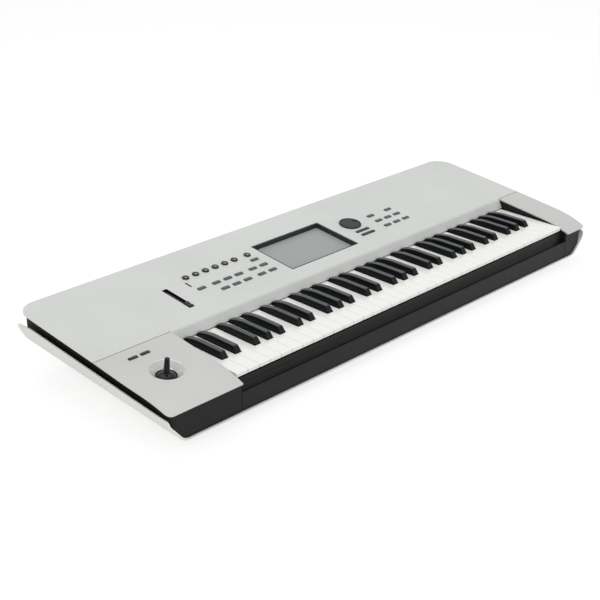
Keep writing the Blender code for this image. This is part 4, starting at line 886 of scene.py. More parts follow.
def build_case():
    sections = []
    for y in case_stations():
        sections.append(case_section(y, 0) + list(reversed(case_section(y, CASE_SHEET))))
    start_y = REAR_Y - WING_TIP_RUN
    start = (start_y, side_profile(start_y, 0)[0][1])
    tip_y = REAR_Y - WING_REAR
    tip = (tip_y, side_profile(tip_y, 0)[0][1] - WING_TIP_DROP)
    end_y = REAR_WALL_Y - GAP
    shoulder = (end_y, FLARE_LOW_FRONT + FLARE_SLOPE_LOW * (end_y - FRONT_Y))
    wing = [(start_y, HEIGHT)]
    wing += fillet([start, tip, shoulder, (end_y, -CASE_SHEET)], (WING_TIP_ROUND, WING_ROUND))
    wing += [(REAR_Y + CASE_SHEET, -CASE_SHEET), (REAR_Y + CASE_SHEET, HEIGHT)]
    near_y = FRONT_Y + CASE_SETBACK
    near_z = side_profile(near_y + TIP_ROUND, 0)[0][1]
    nose = [(near_y - 0.01, HEIGHT), (near_y - 0.01, near_z - TIP_ROUND)]
    nose += [(near_y + TIP_ROUND * (1 - c), near_z - TIP_ROUND * (1 - s)) for s, c in quarter(8)]
    nose += [(near_y + TIP_ROUND + 0.0005, near_z + 0.0005), (near_y + TIP_ROUND + 0.0005, HEIGHT)]
    cutters = [prism(outline, "X", LEFT_X - 0.01, RIGHT_X + 0.01) for outline in (wing, nose)]
    case = combine(loft(sections), cutters, "DIFFERENCE")
    piece("lower_case", case, CREAM, "case", ["bottom_case"], 0.0007, 3)
    flip = Matrix.Rotation(math.pi, 4, "X")
    rows = (FRONT_Y + 0.055, -0.02, REAR_WALL_Y - 0.022)
    places = [Matrix.Translation((x, y, BELLY_BOTTOM)) @ flip for x in CASE_SCREW_X for y in rows]
    piece("case_screws", repeated(lambda: screw_head(0.0036, 0.0009), places), ZINC)


def screw_head(radius, height):
    """A low dome with a cross recess, standing on its own origin."""
    profile = [(0, height), (radius * 0.45, height * 0.93), (radius * 0.8, height * 0.62), (radius, 0.0001)]
    head = turned(profile + [(radius, -0.0002), (0, -0.0002)], 20)
    slots = []
    for width, depth in ((radius * 1.1, radius * 0.26), (radius * 0.26, radius * 1.1)):
        slots.append(box((-width / 2, -depth / 2, height * 0.25), (width / 2, depth / 2, height * 2)))
    return combine(head, slots, "DIFFERENCE")


def build_feet():
    foot_x = WIDTH / 2 - FOOT_INSET_X
    top = BELLY_BOTTOM - GAP
    hole_radius = FOOT_RADIUS * 0.42
    profile = [(0, top), (FOOT_RADIUS, top), (FOOT_RADIUS, 0.003), (FOOT_RADIUS * 0.97, 0.0012)]
    profile += [(FOOT_RADIUS * 0.88, 0.0), (hole_radius * 1.15, 0.0), (hole_radius, 0.0006)]
    profile += [(hole_radius, 0.005), (0, 0.005)]
    for row, y in (("front", FRONT_Y + FOOT_INSET_FRONT), ("rear", REAR_WALL_Y - FOOT_INSET_REAR)):
        for side, x in (("left", -foot_x), ("right", foot_x)):
            name = "foot_%s_%s" % (row, side)
            foot = moved(turned(profile), Matrix.Translation((x, y, 0)))
            piece("rubber_" + name, foot, RUBBER, "case", [name])


# Panels

def control_places():
    """Each small or long button of the top panel: its group, x, y, width and depth."""
    places = []
    for group, first_x, count, rows in BUTTON_GROUPS:
        for x in [first_x + BUTTON_PITCH * i for i in range(count)]:
            places += [(group, x, ROW_FRONT + ROW_PITCH * row, BUTTON_WIDTH, BUTTON_DEPTH) for row in rows]
    for group, y in zip(("button_increase", "button_decrease"), LONG_ROWS):
        places.append((group, DIAL_X, y, LONG_WIDTH, LONG_DEPTH))
    return places


def knob_places():
    xs = [KNOB_X + KNOB_PITCH * i for i in range(KNOB_COUNT)] + [KNOB_LAST_X]
    return [("knob_%d" % (i + 1), x, KNOB_Y) for i, x in enumerate(xs)]


def hole(width, depth, radius):
    return plate(width, depth, radius, -2 * PANEL_SHEET, 2 * PANEL_SHEET)


def button_hole(width, depth):
    return hole(width + 2 * BUTTON_CLEAR, depth + 2 * BUTTON_CLEAR, BUTTON_CORNER)


def edged_sheet(outline_at, height):
    """A sheet with a slim, undercut edge. outline_at gives its outline at an inset, height its top."""
    levels = []
    for inset, drop in EDGE_LEVELS:
        levels.append([(x, y, height(y) - drop) for x, y in outline_at(inset)])
    return loft(levels)


def lip():
    """The fascia: the panel's front edge, bent down over the rear of the keys."""
    foot_y = SEAM_Y - LIP_LEAN
    foot_z = KEY_TOP + LIP_CLEAR
    back = SEAM_Y + 2 * LIP_LAP
    sheet = PANEL_SHEET
    outer = fillet([(back, panel_z(back)), (SEAM_Y, SEAM_Z), (foot_y, foot_z)], (LIP_ROUND,), 10)
    inner = [(back, panel_z(back) - sheet), (SEAM_Y + sheet, SEAM_Z - sheet), (foot_y + sheet, foot_z)]
    inner = fillet(inner, (LIP_ROUND - sheet,), 10)
    return prism(outer + list(reversed(inner)), "X", WELL_LOW_X + SIDE_GAP, WELL_HIGH_X - SIDE_GAP)


def panel_outline(inset):
    """The top panel in plan, with the gap for the fascia. The inset is at its sides and rear."""
    front = SEAM_Y + SEAM_GAP
    lap = SEAM_Y + LIP_LAP
    lip_low = WELL_LOW_X + SIDE_GAP
    lip_high = WELL_HIGH_X - SIDE_GAP
    side = LEFT_X + SIDE_GAP + inset
    rear = REAR_Y - inset
    radii = (REAR_CORNER - inset, REAR_CORNER - inset)
    rounded = fillet([(-side, front), (-side, rear), (side, rear), (side, front)], radii)
    gap = [(lip_low, front), (lip_low, lap), (lip_high, lap), (lip_high, front)]
    return [(side, front)] + gap + rounded[:-1]


def build_top_panel():
    panel = combine(edged_sheet(panel_outline, panel_z), [lip()], "UNION")
    cuts = [moved(button_hole(width, depth), on_panel(x, y)) for _, x, y, width, depth in control_places()]
    for _, x, y in knob_places() + [("dial", DIAL_X, DIAL_Y)]:
        cuts.append(moved(round_bar(SHAFT_RADIUS + SHAFT_CLEAR, -0.005, 0.005), on_panel(x, y)))
    slot = hole(SLIDER_WIDTH + 0.0016, SLIDER_LENGTH + 0.0016, 0.0014)
    cuts.append(moved(slot, on_panel(SLIDER_X, SLIDER_FRONT + SLIDER_LENGTH / 2)))
    window = hole(SCREEN_WIDTH + 0.0018, SCREEN_DEPTH + 0.0018, 0.0012)
    cuts.append(moved(window, on_panel(SCREEN_X, SCREEN_Y)))
    panel = combine(panel, [together(cuts)], "DIFFERENCE")
    piece("panel_shell", panel, PANEL, "case", ["top_panel"], 0.0005, 3)
    mark = box((-0.0017, -0.0078, 0), (0.0017, 0.0078, 0.00006))
    piece("panel_mark", moved(mark, on_panel(MARK_X, MARK_Y)), SLOT)
    # Painted shade: near-black strips sunk just under the seam gaps beside the fascia, so the gaps between
    # the panel and the cheeks read darker.
    shade_strips = []
    for low_x, high_x in ((LEFT_X, WELL_LOW_X), (WELL_HIGH_X, RIGHT_X)):
        low = (low_x + 0.0012, SEAM_Y + 0.00004, SEAM_Z - 0.0022)
        shade_strips.append(box(low, (high_x - 0.0012, SEAM_Y + SEAM_GAP - 0.00004, SEAM_Z - 0.0008)))
    piece("seam_shade_strips", together(shade_strips), SLOT)


def cheek_outline(outer_x, inner_x, inset):
    """A cheek in plan: its outer edge comes in towards the rounded front corner."""
    side = 1 if inner_x > outer_x else -1
    outer_x += side * inset
    stations = [FRONT_Y + NARROW_RUN * (1 - i / ARC_STEPS) for i in range(ARC_STEPS)]
    points = [(outer_x, SEAM_Y)] + [(outer_x + side * narrowing(y), y) for y in stations]
    points += [(outer_x + side * END_NARROW, FRONT_Y + inset), (inner_x, FRONT_Y + inset), (inner_x, SEAM_Y)]
    return fillet(points, [0] * ARC_STEPS + [FRONT_CORNER - inset, FRONT_CORNER / 4])


def cheek(outer_x, inner_x):
    """A bent sheet that follows the cheek's slope and its rolled front, with a slim edge."""
    bm = edged_sheet(lambda inset: cheek_outline(outer_x, inner_x, inset), lambda y: 0)
    for y in roll_stations()[1:]:
        whole = bm.verts[:] + bm.edges[:] + bm.faces[:]
        bmesh.ops.bisect_plane(bm, geom=whole, plane_co=(0, y, 0), plane_no=(0, 1, 0))
    for vert in bm.verts:
        vert.co.z += cheek_z(vert.co.y)
    return bm


def sew_well(bm, place, radius, path):
    """Turns the wall of a round hole into a funnel: path leads from the upper rim to the lower one."""
    inverse = place.inverted()

    def angle_of(vert):
        spot = inverse @ vert.co
        return math.atan2(spot.y, spot.x)

    def on_wall(vert):
        spot = inverse @ vert.co
        return abs(math.hypot(spot.x, spot.y) - radius) < 2e-5

    wall = [face for face in bm.faces if all(on_wall(vert) for vert in face.verts)]
    bmesh.ops.delete(bm, geom=wall, context="FACES_ONLY")
    rim = sorted([vert for vert in bm.verts if vert.is_boundary and on_wall(vert)], key=angle_of)
    rings = [[vert for vert in rim if (inverse @ vert.co).z > -PANEL_SHEET / 2]]
    angles = [angle_of(vert) for vert in rings[0]]
    for reach, z in path:
        points = [place @ Vector((reach * math.cos(a), reach * math.sin(a), z)) for a in angles]
        rings.append([bm.verts.new(point) for point in points])
    rings.append([vert for vert in rim if (inverse @ vert.co).z <= -PANEL_SHEET / 2])
    for face in skin(bm, rings):
        face.material_index = 1
    return bm


def build_cheeks():
    left = cheek(LEFT_X + SIDE_GAP, WELL_LOW_X)
    place = on_cheek(STICK_X, STICK_Y)
    mouth = WELL_RADIUS + 0.0007
    cuts = [moved(round_bar(mouth, -0.005, 0.005, 96), place)]
    cuts += [moved(button_hole(SWITCH_WIDTH, SWITCH_DEPTH), on_cheek(x, SWITCH_Y)) for x in SWITCH_X]
    left = combine(left, [together(cuts)], "DIFFERENCE")
    path = [(mouth - 0.0005, -0.00008), (mouth - 0.0010, -0.00028), (mouth - 0.0015, -0.00060)]
    for k in range(1, 9):
        part = 1 - k / 8
        reach = WELL_OPENING + (mouth - 0.0015 - WELL_OPENING) * part
        path.append((reach, -WELL_DEPTH + (WELL_DEPTH - 0.0006) * part ** 0.94))
    path.append((WELL_OPENING - 0.0001, -WELL_DEPTH - 0.0006))
    path.append((WELL_OPENING + WELL_RIM, -WELL_DEPTH - 0.6 * WELL_RIM))
    path.append((WELL_RADIUS + WELL_RIM, -PANEL_SHEET - 0.0001))
    left = sew_well(left, place, mouth, path)
    obj = piece("left_cheek", left, CHEEK, "case", ["left_cheek_panel"], 0.0004, 3)
    obj.data.materials.append(FUNNEL)
    right = cheek(RIGHT_X - SIDE_GAP, WELL_HIGH_X)
    piece("right_cheek", right, CHEEK, "case", ["right_cheek_panel"], 0.0004, 3)


# End frames, key slip and rear wall

def end_frame(outer_x, inner_x):
    side = 1 if inner_x > outer_x else -1
    wall_x = outer_x + side * WALL_INSET
    sheet = WALL_SHEET
    rear = REAR_WALL_Y - GAP
    well_end = SEAM_Y - SIDE_GAP
    path = fillet([(wall_x, rear), (wall_x, BLACK_FRONT_Y), (inner_x, BLACK_FRONT_Y)], (BLACK_CORNER,))
    path += [(inner_x, well_end), (inner_x - side * sheet, well_end)]
    inner = [(inner_x - side * sheet, BLACK_FRONT_Y + sheet), (wall_x + side * sheet, BLACK_FRONT_Y + sheet)]
    inner.append((wall_x + side * sheet, rear))
    path += fillet(inner, (BLACK_CORNER - sheet,))
    return trimmed(prism(path, "Z", -0.01, HEIGHT + 0.01))


def build_frames():
    for side, outer_x, inner_x in (("left", LEFT_X, WELL_LOW_X), ("right", RIGHT_X, WELL_HIGH_X)):
        bm = end_frame(outer_x, inner_x)
        piece(side + "_frame", bm, BLACK, "case", [side + "_end_frame"], 0.0005)


def build_slip():
    """The key slip: a rounded front, then a cove that rises to just in front of the key lips."""
    front = BLACK_FRONT_Y
    rear = front + SLIP_LEDGE
    low = SLIP_TOP - SLIP_DIP
    high = SLIP_TOP + SLIP_RISE
    outer = [(front, 0), (front, SLIP_TOP), (front + 0.0030, low)]
    outer = fillet(outer + [(front + 0.0106, low), (front + 0.0112, high)], (SLIP_ROUND, 0.0, COVE_ROUND))
    outer += [(front + 0.0120, high), (front + 0.0120, SLIP_SHELF), (rear, SLIP_SHELF)]
    under = SLIP_SHELF - WALL_SHEET
    inner = [(rear, under), (front + 0.0145, under), (front + 0.0100, low - WALL_SHEET)]
    inner += [(front + WALL_SHEET, low - WALL_SHEET), (front + WALL_SHEET, 0)]
    slip = prism(outer + inner, "X", WELL_LOW_X + SLIP_END_GAP, WELL_HIGH_X - SLIP_END_GAP)
    slip = combine(slip, [case_space(CASE_SHEET + GAP)], "INTERSECT")
    obj = piece("front_slip", slip, SLIP_BLACK, "case", ["key_slip"], 0.0004)

    # Painted shade: the cove's upward faces, which lie in the shade of the key lips, get the darker black.
    def painted_shade_in_cove(face):
        return face.center.z > low - 0.0006 and face.center.y > front + 0.0020 and face.normal.z > 0.35

    repaint(obj, SHADED_BLACK, painted_shade_in_cove)


def build_rear():
    low = (LEFT_X + WALL_INSET, REAR_WALL_Y, -0.01)
    high = (RIGHT_X - WALL_INSET, REAR_WALL_Y + PANEL_SHEET, HEIGHT + 0.01)
    deep = 4 * PANEL_SHEET
    cuts = []
    for x, radius in ROUND_SOCKETS:
        cuts.append(moved(round_bar(radius + PANEL_HOLE_CLEAR, -deep, deep, 40), on_rear(x)))
    for x, width, height in SQUARE_SOCKETS + [(ROCKER_X, ROCKER_WIDTH, ROCKER_HEIGHT)]:
        cut = plate(width + 2 * PANEL_HOLE_CLEAR, height + 2 * PANEL_HOLE_CLEAR, 0.0006, -deep, deep)
        cuts.append(moved(cut, on_rear(x)))
    wall = combine(trimmed(box(low, high)), [together(cuts)], "DIFFERENCE")
    piece("rear_wall", wall, BLACK, "case", ["rear_panel"], 0.0003)


def build_jacks():
    places = [on_rear(x) for x in JACK_X]

    def nut():
        bore = round_bar(JACK_RADIUS + 0.0004, -CUT_REACH, CUT_REACH, 32)
        return combine(prism(circle(0.0066, 6), "Z", 0.0006, 0.0026), [bore], "DIFFERENCE")

    piece("jack_nuts", repeated(nut, places), KNOB, bevel=0.0002)
    washers = repeated(lambda: ring(0.0074, JACK_RADIUS + 0.0005, 0.0, 0.0006), places)
    piece("jack_washers", washers, NICKEL)


def build_dins():
    places = [on_rear(x) for x in MIDI_X]
    rings = repeated(lambda: ring(MIDI_RADIUS + 0.0022, MIDI_RADIUS + 0.0002, 0.0, 0.0008), places)
    piece("din_rings", rings, NICKEL)
    reach = 0.0050
    angles = [math.pi * i / 4 for i in range(5)]
    spots = [Matrix.Translation((reach * math.cos(a), reach * math.sin(a), 0)) for a in angles]
    places = [place @ spot for place in places for spot in spots]
    pins = repeated(lambda: round_bar(0.0007, PIN_END, -0.0075, 10), places)
    piece("din_contacts", pins, NICKEL)


def build_usbs():
    places = [on_rear(x) for x in USB_X]
    outer = rounded_rectangle(USB_WIDTH + 0.001, USB_HEIGHT + 0.001, 0.0006)
    inner = rounded_rectangle(USB_WIDTH - 0.0004, USB_HEIGHT - 0.0004, 0.0004)
    piece("usb_shells", repeated(lambda: framed(outer, inner, -0.0020, 0.0006), places), NICKEL)
    tongues = repeated(lambda: box((-0.0050, -0.0002, PIN_END), (0.0050, 0.0016, -0.0035)), places)
    piece("usb_tongues", tongues, KNOB)


def build_surround(name, x, outer, inner):
    """The flange round the mains inlet or the power rocker."""
    flange = framed(rounded_rectangle(*outer), rounded_rectangle(*inner), 0.0001, 0.0014)
    piece(name, moved(flange, on_rear(x)), KNOB, bevel=0.0003)


def build_mains():
    outer = (INLET_WIDTH + 0.008, INLET_HEIGHT + 0.008, 0.002)
    build_surround("inlet_surround", INLET_X, outer, (INLET_WIDTH, INLET_HEIGHT, 0.003))
    blades = []
    for x, y in ((-0.007, -0.002), (0.0, 0.002), (0.007, -0.002)):
        blade = box((x - 0.001, y - 0.002, PIN_END), (x + 0.001, y + 0.002, -0.003))
        blades.append(moved(blade, on_rear(INLET_X)))
    piece("inlet_blades", together(blades), NICKEL)
    outer = (ROCKER_WIDTH + 0.006, ROCKER_HEIGHT + 0.006, 0.0015)
    inner = (ROCKER_WIDTH + 0.0012, ROCKER_HEIGHT + 0.0012, 0.0006)
    build_surround("rocker_surround", ROCKER_X, outer, inner)


def build_rear_screws():
    lifts = [Matrix.Translation((0, 0, z - SOCKET_Z)) for z in (BELLY_BOTTOM + 0.012, SOCKET_Z + 0.030)]
    places = [lift @ on_rear(x) for x in REAR_SCREW_X for lift in lifts]
    piece("rear_screws", repeated(lambda: screw_head(0.0030, 0.0012), places), ZINC)


def liner(outer, inner):
    """A thin black cup for a socket, from its outer and inner outlines."""
    bottom = LINER_CLEAR - SOCKET_DEPTH
    floor = prism(outer, "Z", bottom, bottom + LINER_SHEET)
    return together([floor, framed(outer, inner, bottom + LINER_SHEET, -LINER_CLEAR, -2 * bottom)])


def build_liners():
    insets = (LINER_CLEAR, LINER_CLEAR + LINER_SHEET)
    cups = []
    for x, radius in ROUND_SOCKETS:
        cups.append(moved(liner(*[circle(radius - inset) for inset in insets]), on_rear(x)))
    for x, width, height in SQUARE_SOCKETS:
        outlines = [rounded_rectangle(width - 2 * inset, height - 2 * inset, 0.0005) for inset in insets]
        cups.append(moved(liner(*outlines), on_rear(x)))
    piece("socket_cups", together(cups), SLOT, smooth=30)


# Keys

def sharp_centres():
    step = NATURALS_PER_OCTAVE * KEY_PITCH / 12
    shift = KEY_PITCH * 0.04
    return [step * (index + 0.5) + shift for index in (1, 3, 6, 8, 10)]


def natural_key(octave_x, natural, overrun, plain):
    """One natural with its rounded front lip and softened edges, and the x of its narrow rear's sides."""
    cut = SHARP_BASE / 2 + SHARP_CLEAR
    left = octave_x + natural * KEY_PITCH + KEY_SPACE / 2
    right = left + KEY_PITCH - KEY_SPACE
    sharp_on_left = {1: 0, 2: 1, 4: 2, 5: 3, 6: 4}.get(natural)
    sharp_on_right = {0: 0, 1: 1, 3: 2, 4: 3, 5: 4}.get(natural)
    narrow_left, narrow_right = left, right
    if sharp_on_left is not None and not plain:
        narrow_left = octave_x + sharp_centres()[sharp_on_left] + cut
    if sharp_on_right is not None and not plain:
        narrow_right = octave_x + sharp_centres()[sharp_on_right] - cut
    step = KEY_FRONT_Y + SHARP_FRONT - SHARP_CLEAR
    rear = HINGE_Y + overrun
    outline = [(left, KEY_FRONT_Y), (right, KEY_FRONT_Y), (right, step)]
    if narrow_right < right:
        outline.append((narrow_right, step))
    outline += [(narrow_right, rear), (narrow_left, rear)]
    if narrow_left > left:
        outline.append((narrow_left, step))
    outline.append((left, step))
    bm = prism(outline, "Z", KEY_BOTTOM, KEY_TOP)
    layer = bm.edges.layers.float.new("bevel_weight_edge")
    for edge in bm.edges:
        front = all(abs(vert.co.y - KEY_FRONT_Y) < SAME for vert in edge.verts)
        top = all(abs(vert.co.z - KEY_TOP) < SAME for vert in edge.verts)
        if front or top:
            edge[layer] = 0.30 if not front else 1.0 if top else 0.75
    key = temporary(bm)
    modifier = key.modifiers.new("edges", "BEVEL")
    modifier.width = KEY_ROUND
    modifier.segments = 4
    modifier.limit_method = "WEIGHT"
    return result_of(key), narrow_left, narrow_right


def sharp_key(centre_x):
    """One sharp: leaning sides, crowned top with rounded edges, sloped nose and dipping rear."""
    run = SHARP_REAR - SHARP_FRONT
    stations = list(SHARP_NOSE)
    for part in [i / 10 for i in range(11)]:
        stations.append((run - SHARP_DIP_RUN * (1 - part), SHARP_HEIGHT - SHARP_DIP * part ** 2, 0.0))
    lean = (SHARP_BASE - SHARP_TOP) / 2 / SHARP_HEIGHT
    sections = []
    for along, height, shrink in stations:
        base = SHARP_BASE / 2 - shrink
        edge = min(0.0010, height * 0.4)
        top = base - lean * height
        half = [(base, KEY_BOTTOM), (base, KEY_TOP)]
        half += [(top - edge * (1 - c), KEY_TOP + height - edge * (1 - s)) for s, c in quarter(4)]
        middle = (0.0, KEY_TOP + height + 0.00018)
        y = KEY_FRONT_Y + SHARP_FRONT + along
        section = [(centre_x - w, y, z) for w, z in half + [middle]]
        sections.append(section + [(centre_x + w, y, z) for w, z in reversed(half)])
    return loft(sections)


def rail(spans, level):
    """The hidden rail that ties a set of keys together near the hinge, with a leg up to each key."""
    low_x = min(span[0] for span in spans)
    high_x = max(span[1] for span in spans)
    if level == 0:
        front = HINGE_Y + ARM_OVERRUN + RAIL_CLEAR
        return [box((low_x, front, KEY_BOTTOM), (high_x, front + RAIL_DEPTH, KEY_TOP - ARM_DROP))]
    front = HINGE_Y - level * 4 * RAIL_DEPTH
    bottom = KEY_BOTTOM - RAIL_STEP * (2 * level - 1) - RAIL_HEIGHT
    top = bottom + RAIL_HEIGHT
    parts = [box((low_x, front, bottom), (high_x, front + RAIL_DEPTH, top))]
    for low, high in spans:
        inset = (high - low) * 0.1
        leg_low = (low + inset, front + RAIL_DEPTH * 0.1, top)
        parts.append(box(leg_low, (high - inset, front + RAIL_DEPTH * 0.9, KEY_BOTTOM)))
    return parts


def natural_set(body, octave_x, naturals, level, plain=False):
    overrun = ARM_OVERRUN if level > 0 or plain else ARM_OVERRUN + RAIL_CLEAR
    keys = [natural_key(octave_x, natural, overrun, plain) for natural in naturals]
    parts = [key for key, _, _ in keys]
    if not plain:
        parts += rail([(low, high) for _, low, high in keys], level)
    piece("whites_" + body, together(parts), IVORY, body, [body], smooth=50)


def sharp_set(body, octave_x):
    parts = []
    spans = []
    for x in [octave_x + centre for centre in sharp_centres()]:
        low = (x - ARM_WIDTH / 2, KEY_FRONT_Y + SHARP_REAR, KEY_BOTTOM)
        high = (x + ARM_WIDTH / 2, HINGE_Y + ARM_OVERRUN, KEY_TOP - ARM_DROP)
        parts += [sharp_key(x), box(low, high)]
        spans.append((low[0], high[0]))
    parts += rail(spans, 2)
    obj = piece("blacks_" + body, together(parts), SHADED_BLACK, body, [body], smooth=50)
    # The sharps' tops get the lighter black as a painted highlight; the rest keeps the darker black as
    # painted shade.
    repaint(obj, LIT_SHARP_TOP, lambda face: face.normal.z > 0.72 and face.center.z > KEY_TOP + 0.002)


def build_keys():
    for octave in range(OCTAVES):
        octave_x = KEYS_X + octave * NATURALS_PER_OCTAVE * KEY_PITCH
        natural_set("keys_cegb_%d" % (octave + 1), octave_x, (0, 2, 4, 6), 0)
        natural_set("keys_dfa_%d" % (octave + 1), octave_x, (1, 3, 5), 1)
        sharp_set("keys_sharps_%d" % (octave + 1), octave_x)
    natural_set("key_top_c", KEYS_X + (NATURALS - 1) * KEY_PITCH, (0,), 0, plain=True)


# Controls

def build_buttons():
    groups = {}
    for name, x, y, width, depth in control_places():
        groups.setdefault(name, []).append((on_panel(x, y), width, depth))
    for i, x in enumerate(SWITCH_X):
        groups["switch_%d" % (i + 1)] = [(on_cheek(x, SWITCH_Y), SWITCH_WIDTH, SWITCH_DEPTH)]
    low = -PANEL_SHEET - GAP - 0.001
    high = BUTTON_PROUD - BUTTON_CROWN
    for name, members in groups.items():
        parts = []
        for place, width, depth in members:
            parts.append(moved(cap(width, depth, BUTTON_CORNER, low, high, 0.0005, BUTTON_CROWN), place))
            x, y = width / 2 + BUTTON_SKIRT, depth / 2 + BUTTON_SKIRT
            parts.append(moved(box((-x, -y, low), (x, y, low + 0.001)), place))
        material = CONTROL if members[0][2] == BUTTON_DEPTH else TRIM
        piece("caps_" + name, together(parts), material, name, [name], smooth=30)


def build_knobs():
    """Low round caps: a black rim round a dished grey top with a short pale pointer."""
    for name, x, y in knob_places():
        place = on_panel(x, y)
        piece(name + "_cap", moved(turned(KNOB_RIM + SHAFT, 48), place), KNOB, name, [name], smooth=50)
        piece(name + "_dish", moved(turned(KNOB_DISH, 48), place), KNOB_TOP, name, smooth=50)
        line = box((-0.0005, -0.0026, 0.0015), (0.0005, 0.0002, 0.0021))
        piece(name + "_line", moved(line, place), POINTER, name)


def build_dial():
    """A flat disc with a groove near its edge and a finger dimple."""
    radius = DIAL_RADIUS
    high = DIAL_HEIGHT
    edge = 0.0007
    top = high - 0.0003
    groove = top - 0.0006
    profile = [(0, top), (radius * 0.84, top), (radius * 0.85, groove), (radius * 0.88, groove)]
    profile += [(radius * 0.89, high), (radius - edge, high), (radius - edge * 0.3, high - edge * 0.3)]
    profile += [(radius, high - edge), (radius, GAP)]
    scoop = [(DIMPLE_RADIUS * s, high - 0.0002 - 0.0017 * c) for s, c in quarter(5)]
    scoop = [(0, 0.004), (DIMPLE_RADIUS, 0.004)] + list(reversed(scoop))
    dimple = moved(turned(scoop), Matrix.Translation((DIMPLE_OFFSET, 0, 0)))
    dial = combine(turned(profile + SHAFT, 96), [dimple], "DIFFERENCE")
    piece("dial_disc", moved(dial, on_panel(DIAL_X, DIAL_Y)), DIAL, "value_dial", ["value_dial"], smooth=35)


def build_slider():
    """The cap with its stem, and under it a black liner and a tray with a slit."""
    half = CAP_LENGTH / 2
    side = SLIDER_WIDTH / 2 - BUTTON_CLEAR
    place = on_panel(SLIDER_X, SLIDER_FRONT + half + SIDE_GAP)
    outline = [(-half, -PANEL_SHEET), (-half, 0.0008), (-half * 0.86, 0.0020), (-half * 0.6, 0.0024)]
    for part in [-0.5 + i / 8 for i in range(9)]:
        outline.append((half * 0.9 * part, 0.0022 - 0.0012 * math.cos(math.pi * part) ** 2))
    outline += [(half * 0.62, 0.0027), (half * 0.80, CAP_PROUD), (half * 0.97, 0.0022), (half, 0.0012)]
    outline.append((half, -PANEL_SHEET))
    stem = box((-0.0015, -0.0015, -BOARD_SUNK + GAP), (0.0015, 0.0015, 0.0))
    grip = combine(prism(outline, "X", -side, side), [stem], "UNION")
    piece("slider_grip", moved(grip, place), KNOB, "slider_cap", ["slider_cap"], bevel=0.0004)
    edge = box((-side + 0.0008, half * 0.60, 0.0024), (side - 0.0008, half * 0.84, CAP_PROUD))
    piece("slider_line", moved(edge, place), KNOB_TOP, "slider_cap", bevel=0.0002)
    place = on_panel(SLIDER_X, SLIDER_FRONT + SLIDER_LENGTH / 2)
    outer = rounded_rectangle(SLIDER_WIDTH + 0.0013, SLIDER_LENGTH + 0.0013, 0.0013)
    wall = framed(outer, rounded_rectangle(SLIDER_WIDTH, SLIDER_LENGTH, 0.001), -0.0052, -0.00025)
    piece("slider_liner", moved(wall, place), SLOT)
    tray = framed(outer, rounded_rectangle(0.0036, SLIDER_LENGTH - 0.004, 0.0005), -0.0064, -0.0052)
    piece("slider_tray", moved(tray, place), CONTROL)


def build_display():
    place = on_panel(SCREEN_X, SCREEN_Y)
    width = SCREEN_WIDTH - 2 * GAP
    depth = SCREEN_DEPTH - 2 * GAP
    inner_width = width - 2 * BEZEL_WALL
    inner_depth = depth - 2 * BEZEL_WALL
    wall = plate(width, depth, 0.0011, -SCREEN_SUNK, -GAP)
    under = -PANEL_SHEET - GAP
    flange = plate(width + 0.008, depth + 0.008, 0.0011, under - 0.0015, under)
    window = plate(inner_width, inner_depth, 0.0008, -SCREEN_CUT, SCREEN_CUT)
    bezel = combine(combine(wall, [flange], "UNION"), [window], "DIFFERENCE")
    piece("screen_bezel", moved(bezel, place), BEZEL, "case", ["display_bezel"], bevel=0.0003)
    face = -SCREEN_SUNK - GAP
    module = cap(width, depth, 0.001, face - 0.006, face, 0.0004)
    piece("screen_panel", moved(module, place), SCREEN, "case", ["display_module"])
    outer = rounded_rectangle(inner_width - 0.0002, inner_depth - 0.0002, 0.0008)
    inner = rounded_rectangle(inner_width - 0.0036, inner_depth - 0.0036, 0.0006)
    border = framed(outer, inner, -SCREEN_SUNK, -SCREEN_SUNK + 0.0003, SCREEN_CUT)
    piece("screen_border", moved(border, place), BEZEL)


def dome(radius, start, end, steps=18):
    """Profile points on a sphere about the origin."""
    angles = [start + (end - start) * i / steps for i in range(steps + 1)]
    return [(radius * math.sin(angle), radius * math.cos(angle)) for angle in angles]


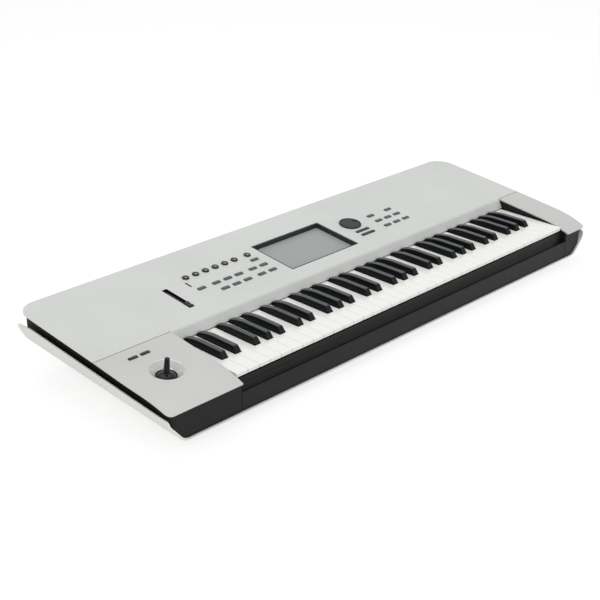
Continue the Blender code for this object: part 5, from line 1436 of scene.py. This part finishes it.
def build_joystick():
    """The stick flares into its dome, which is hollow round a post down to the pivot."""
    tip = STICK_TIP + HUB_DEPTH
    radius = STICK_RADIUS * 1.16
    profile = [(0, tip)]
    profile += [(radius * s, tip - 0.0016 * (1 - c)) for s, c in quarter(5)[1:]]
    profile += [(radius * 1.04, tip - 0.006), (radius * 1.12, tip - 0.013), (radius * 1.22, tip - 0.020)]
    start = math.asin(radius * 1.9 / DOME_RADIUS)
    base = DOME_RADIUS * math.cos(start)
    for part in [k / 6 for k in range(1, 6)]:
        profile.append((radius * (1.24 + 0.66 * part ** 2), base + 0.0036 * (1 - part) ** 2))
    inner = DOME_RADIUS - DOME_SHEET
    post = 0.0032
    profile += dome(DOME_RADIUS, start, DOME_ANGLE) + dome(inner, DOME_ANGLE, math.asin(post / inner))
    stick = turned(profile + [(post, 0), (0, 0)], 64)
    hub = box((-0.004, -0.004, -0.004), (0.004, 0.004, 0.0))
    place = on_cheek(STICK_X, STICK_Y) @ Matrix.Translation((0, 0, -HUB_DEPTH))
    parts = moved(together([stick, hub, axle(0.0082)]), place)
    piece("stick_and_dome", parts, GLOSS, "joystick_stick", ["joystick_stick"], smooth=50)


def axle(half):
    """A pin along X."""
    return moved(round_bar(0.0014, -half, half, 16), Matrix.Rotation(math.pi / 2, 4, "Y"))


def build_rocker():
    swing = math.tan(ROCKER_SWING)
    half = ROCKER_HEIGHT / 2 - 2 * SIDE_GAP - ROCKER_DEPTH * 0.5 * swing
    face = ROCKER_DEPTH / 2 + PANEL_SHEET * 0.7
    back = -ROCKER_DEPTH / 4
    outline = [(back, -half * 0.6)]
    for part in [-1 + 2 * i / 12 for i in range(13)]:
        outline.append((face + half * swing * (part * part * 0.35 + abs(part) * 0.65), half * part))
    outline.append((back, half * 0.6))
    side = ROCKER_WIDTH / 2 - SIDE_GAP
    rocker = combine(prism(outline, "X", -side, side), [axle(ROCKER_WIDTH / 2 + 0.0028)], "UNION")
    place = Matrix.Translation((KEYS_X + ROCKER_X, REAR_WALL_Y - GAP - ROCKER_DEPTH / 2, SOCKET_Z))
    piece("rocker", moved(rocker, place), KNOB, "power_switch", ["power_switch"], 0.0003)


def dress_inner_nodes():
    for name, material in INNER_NODES.items():
        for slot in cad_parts[name].material_slots:
            slot.material = material


bpy.context.scene.view_settings.view_transform = "Standard"
build_camera()
build_world()
build_floor()
build_lights()
build_case()
build_feet()
build_top_panel()
build_cheeks()
build_frames()
build_slip()
build_rear()
build_jacks()
build_dins()
build_usbs()
build_mains()
build_rear_screws()
build_liners()
build_keys()
build_buttons()
build_knobs()
build_dial()
build_slider()
build_display()
build_joystick()
build_rocker()
dress_inner_nodes()
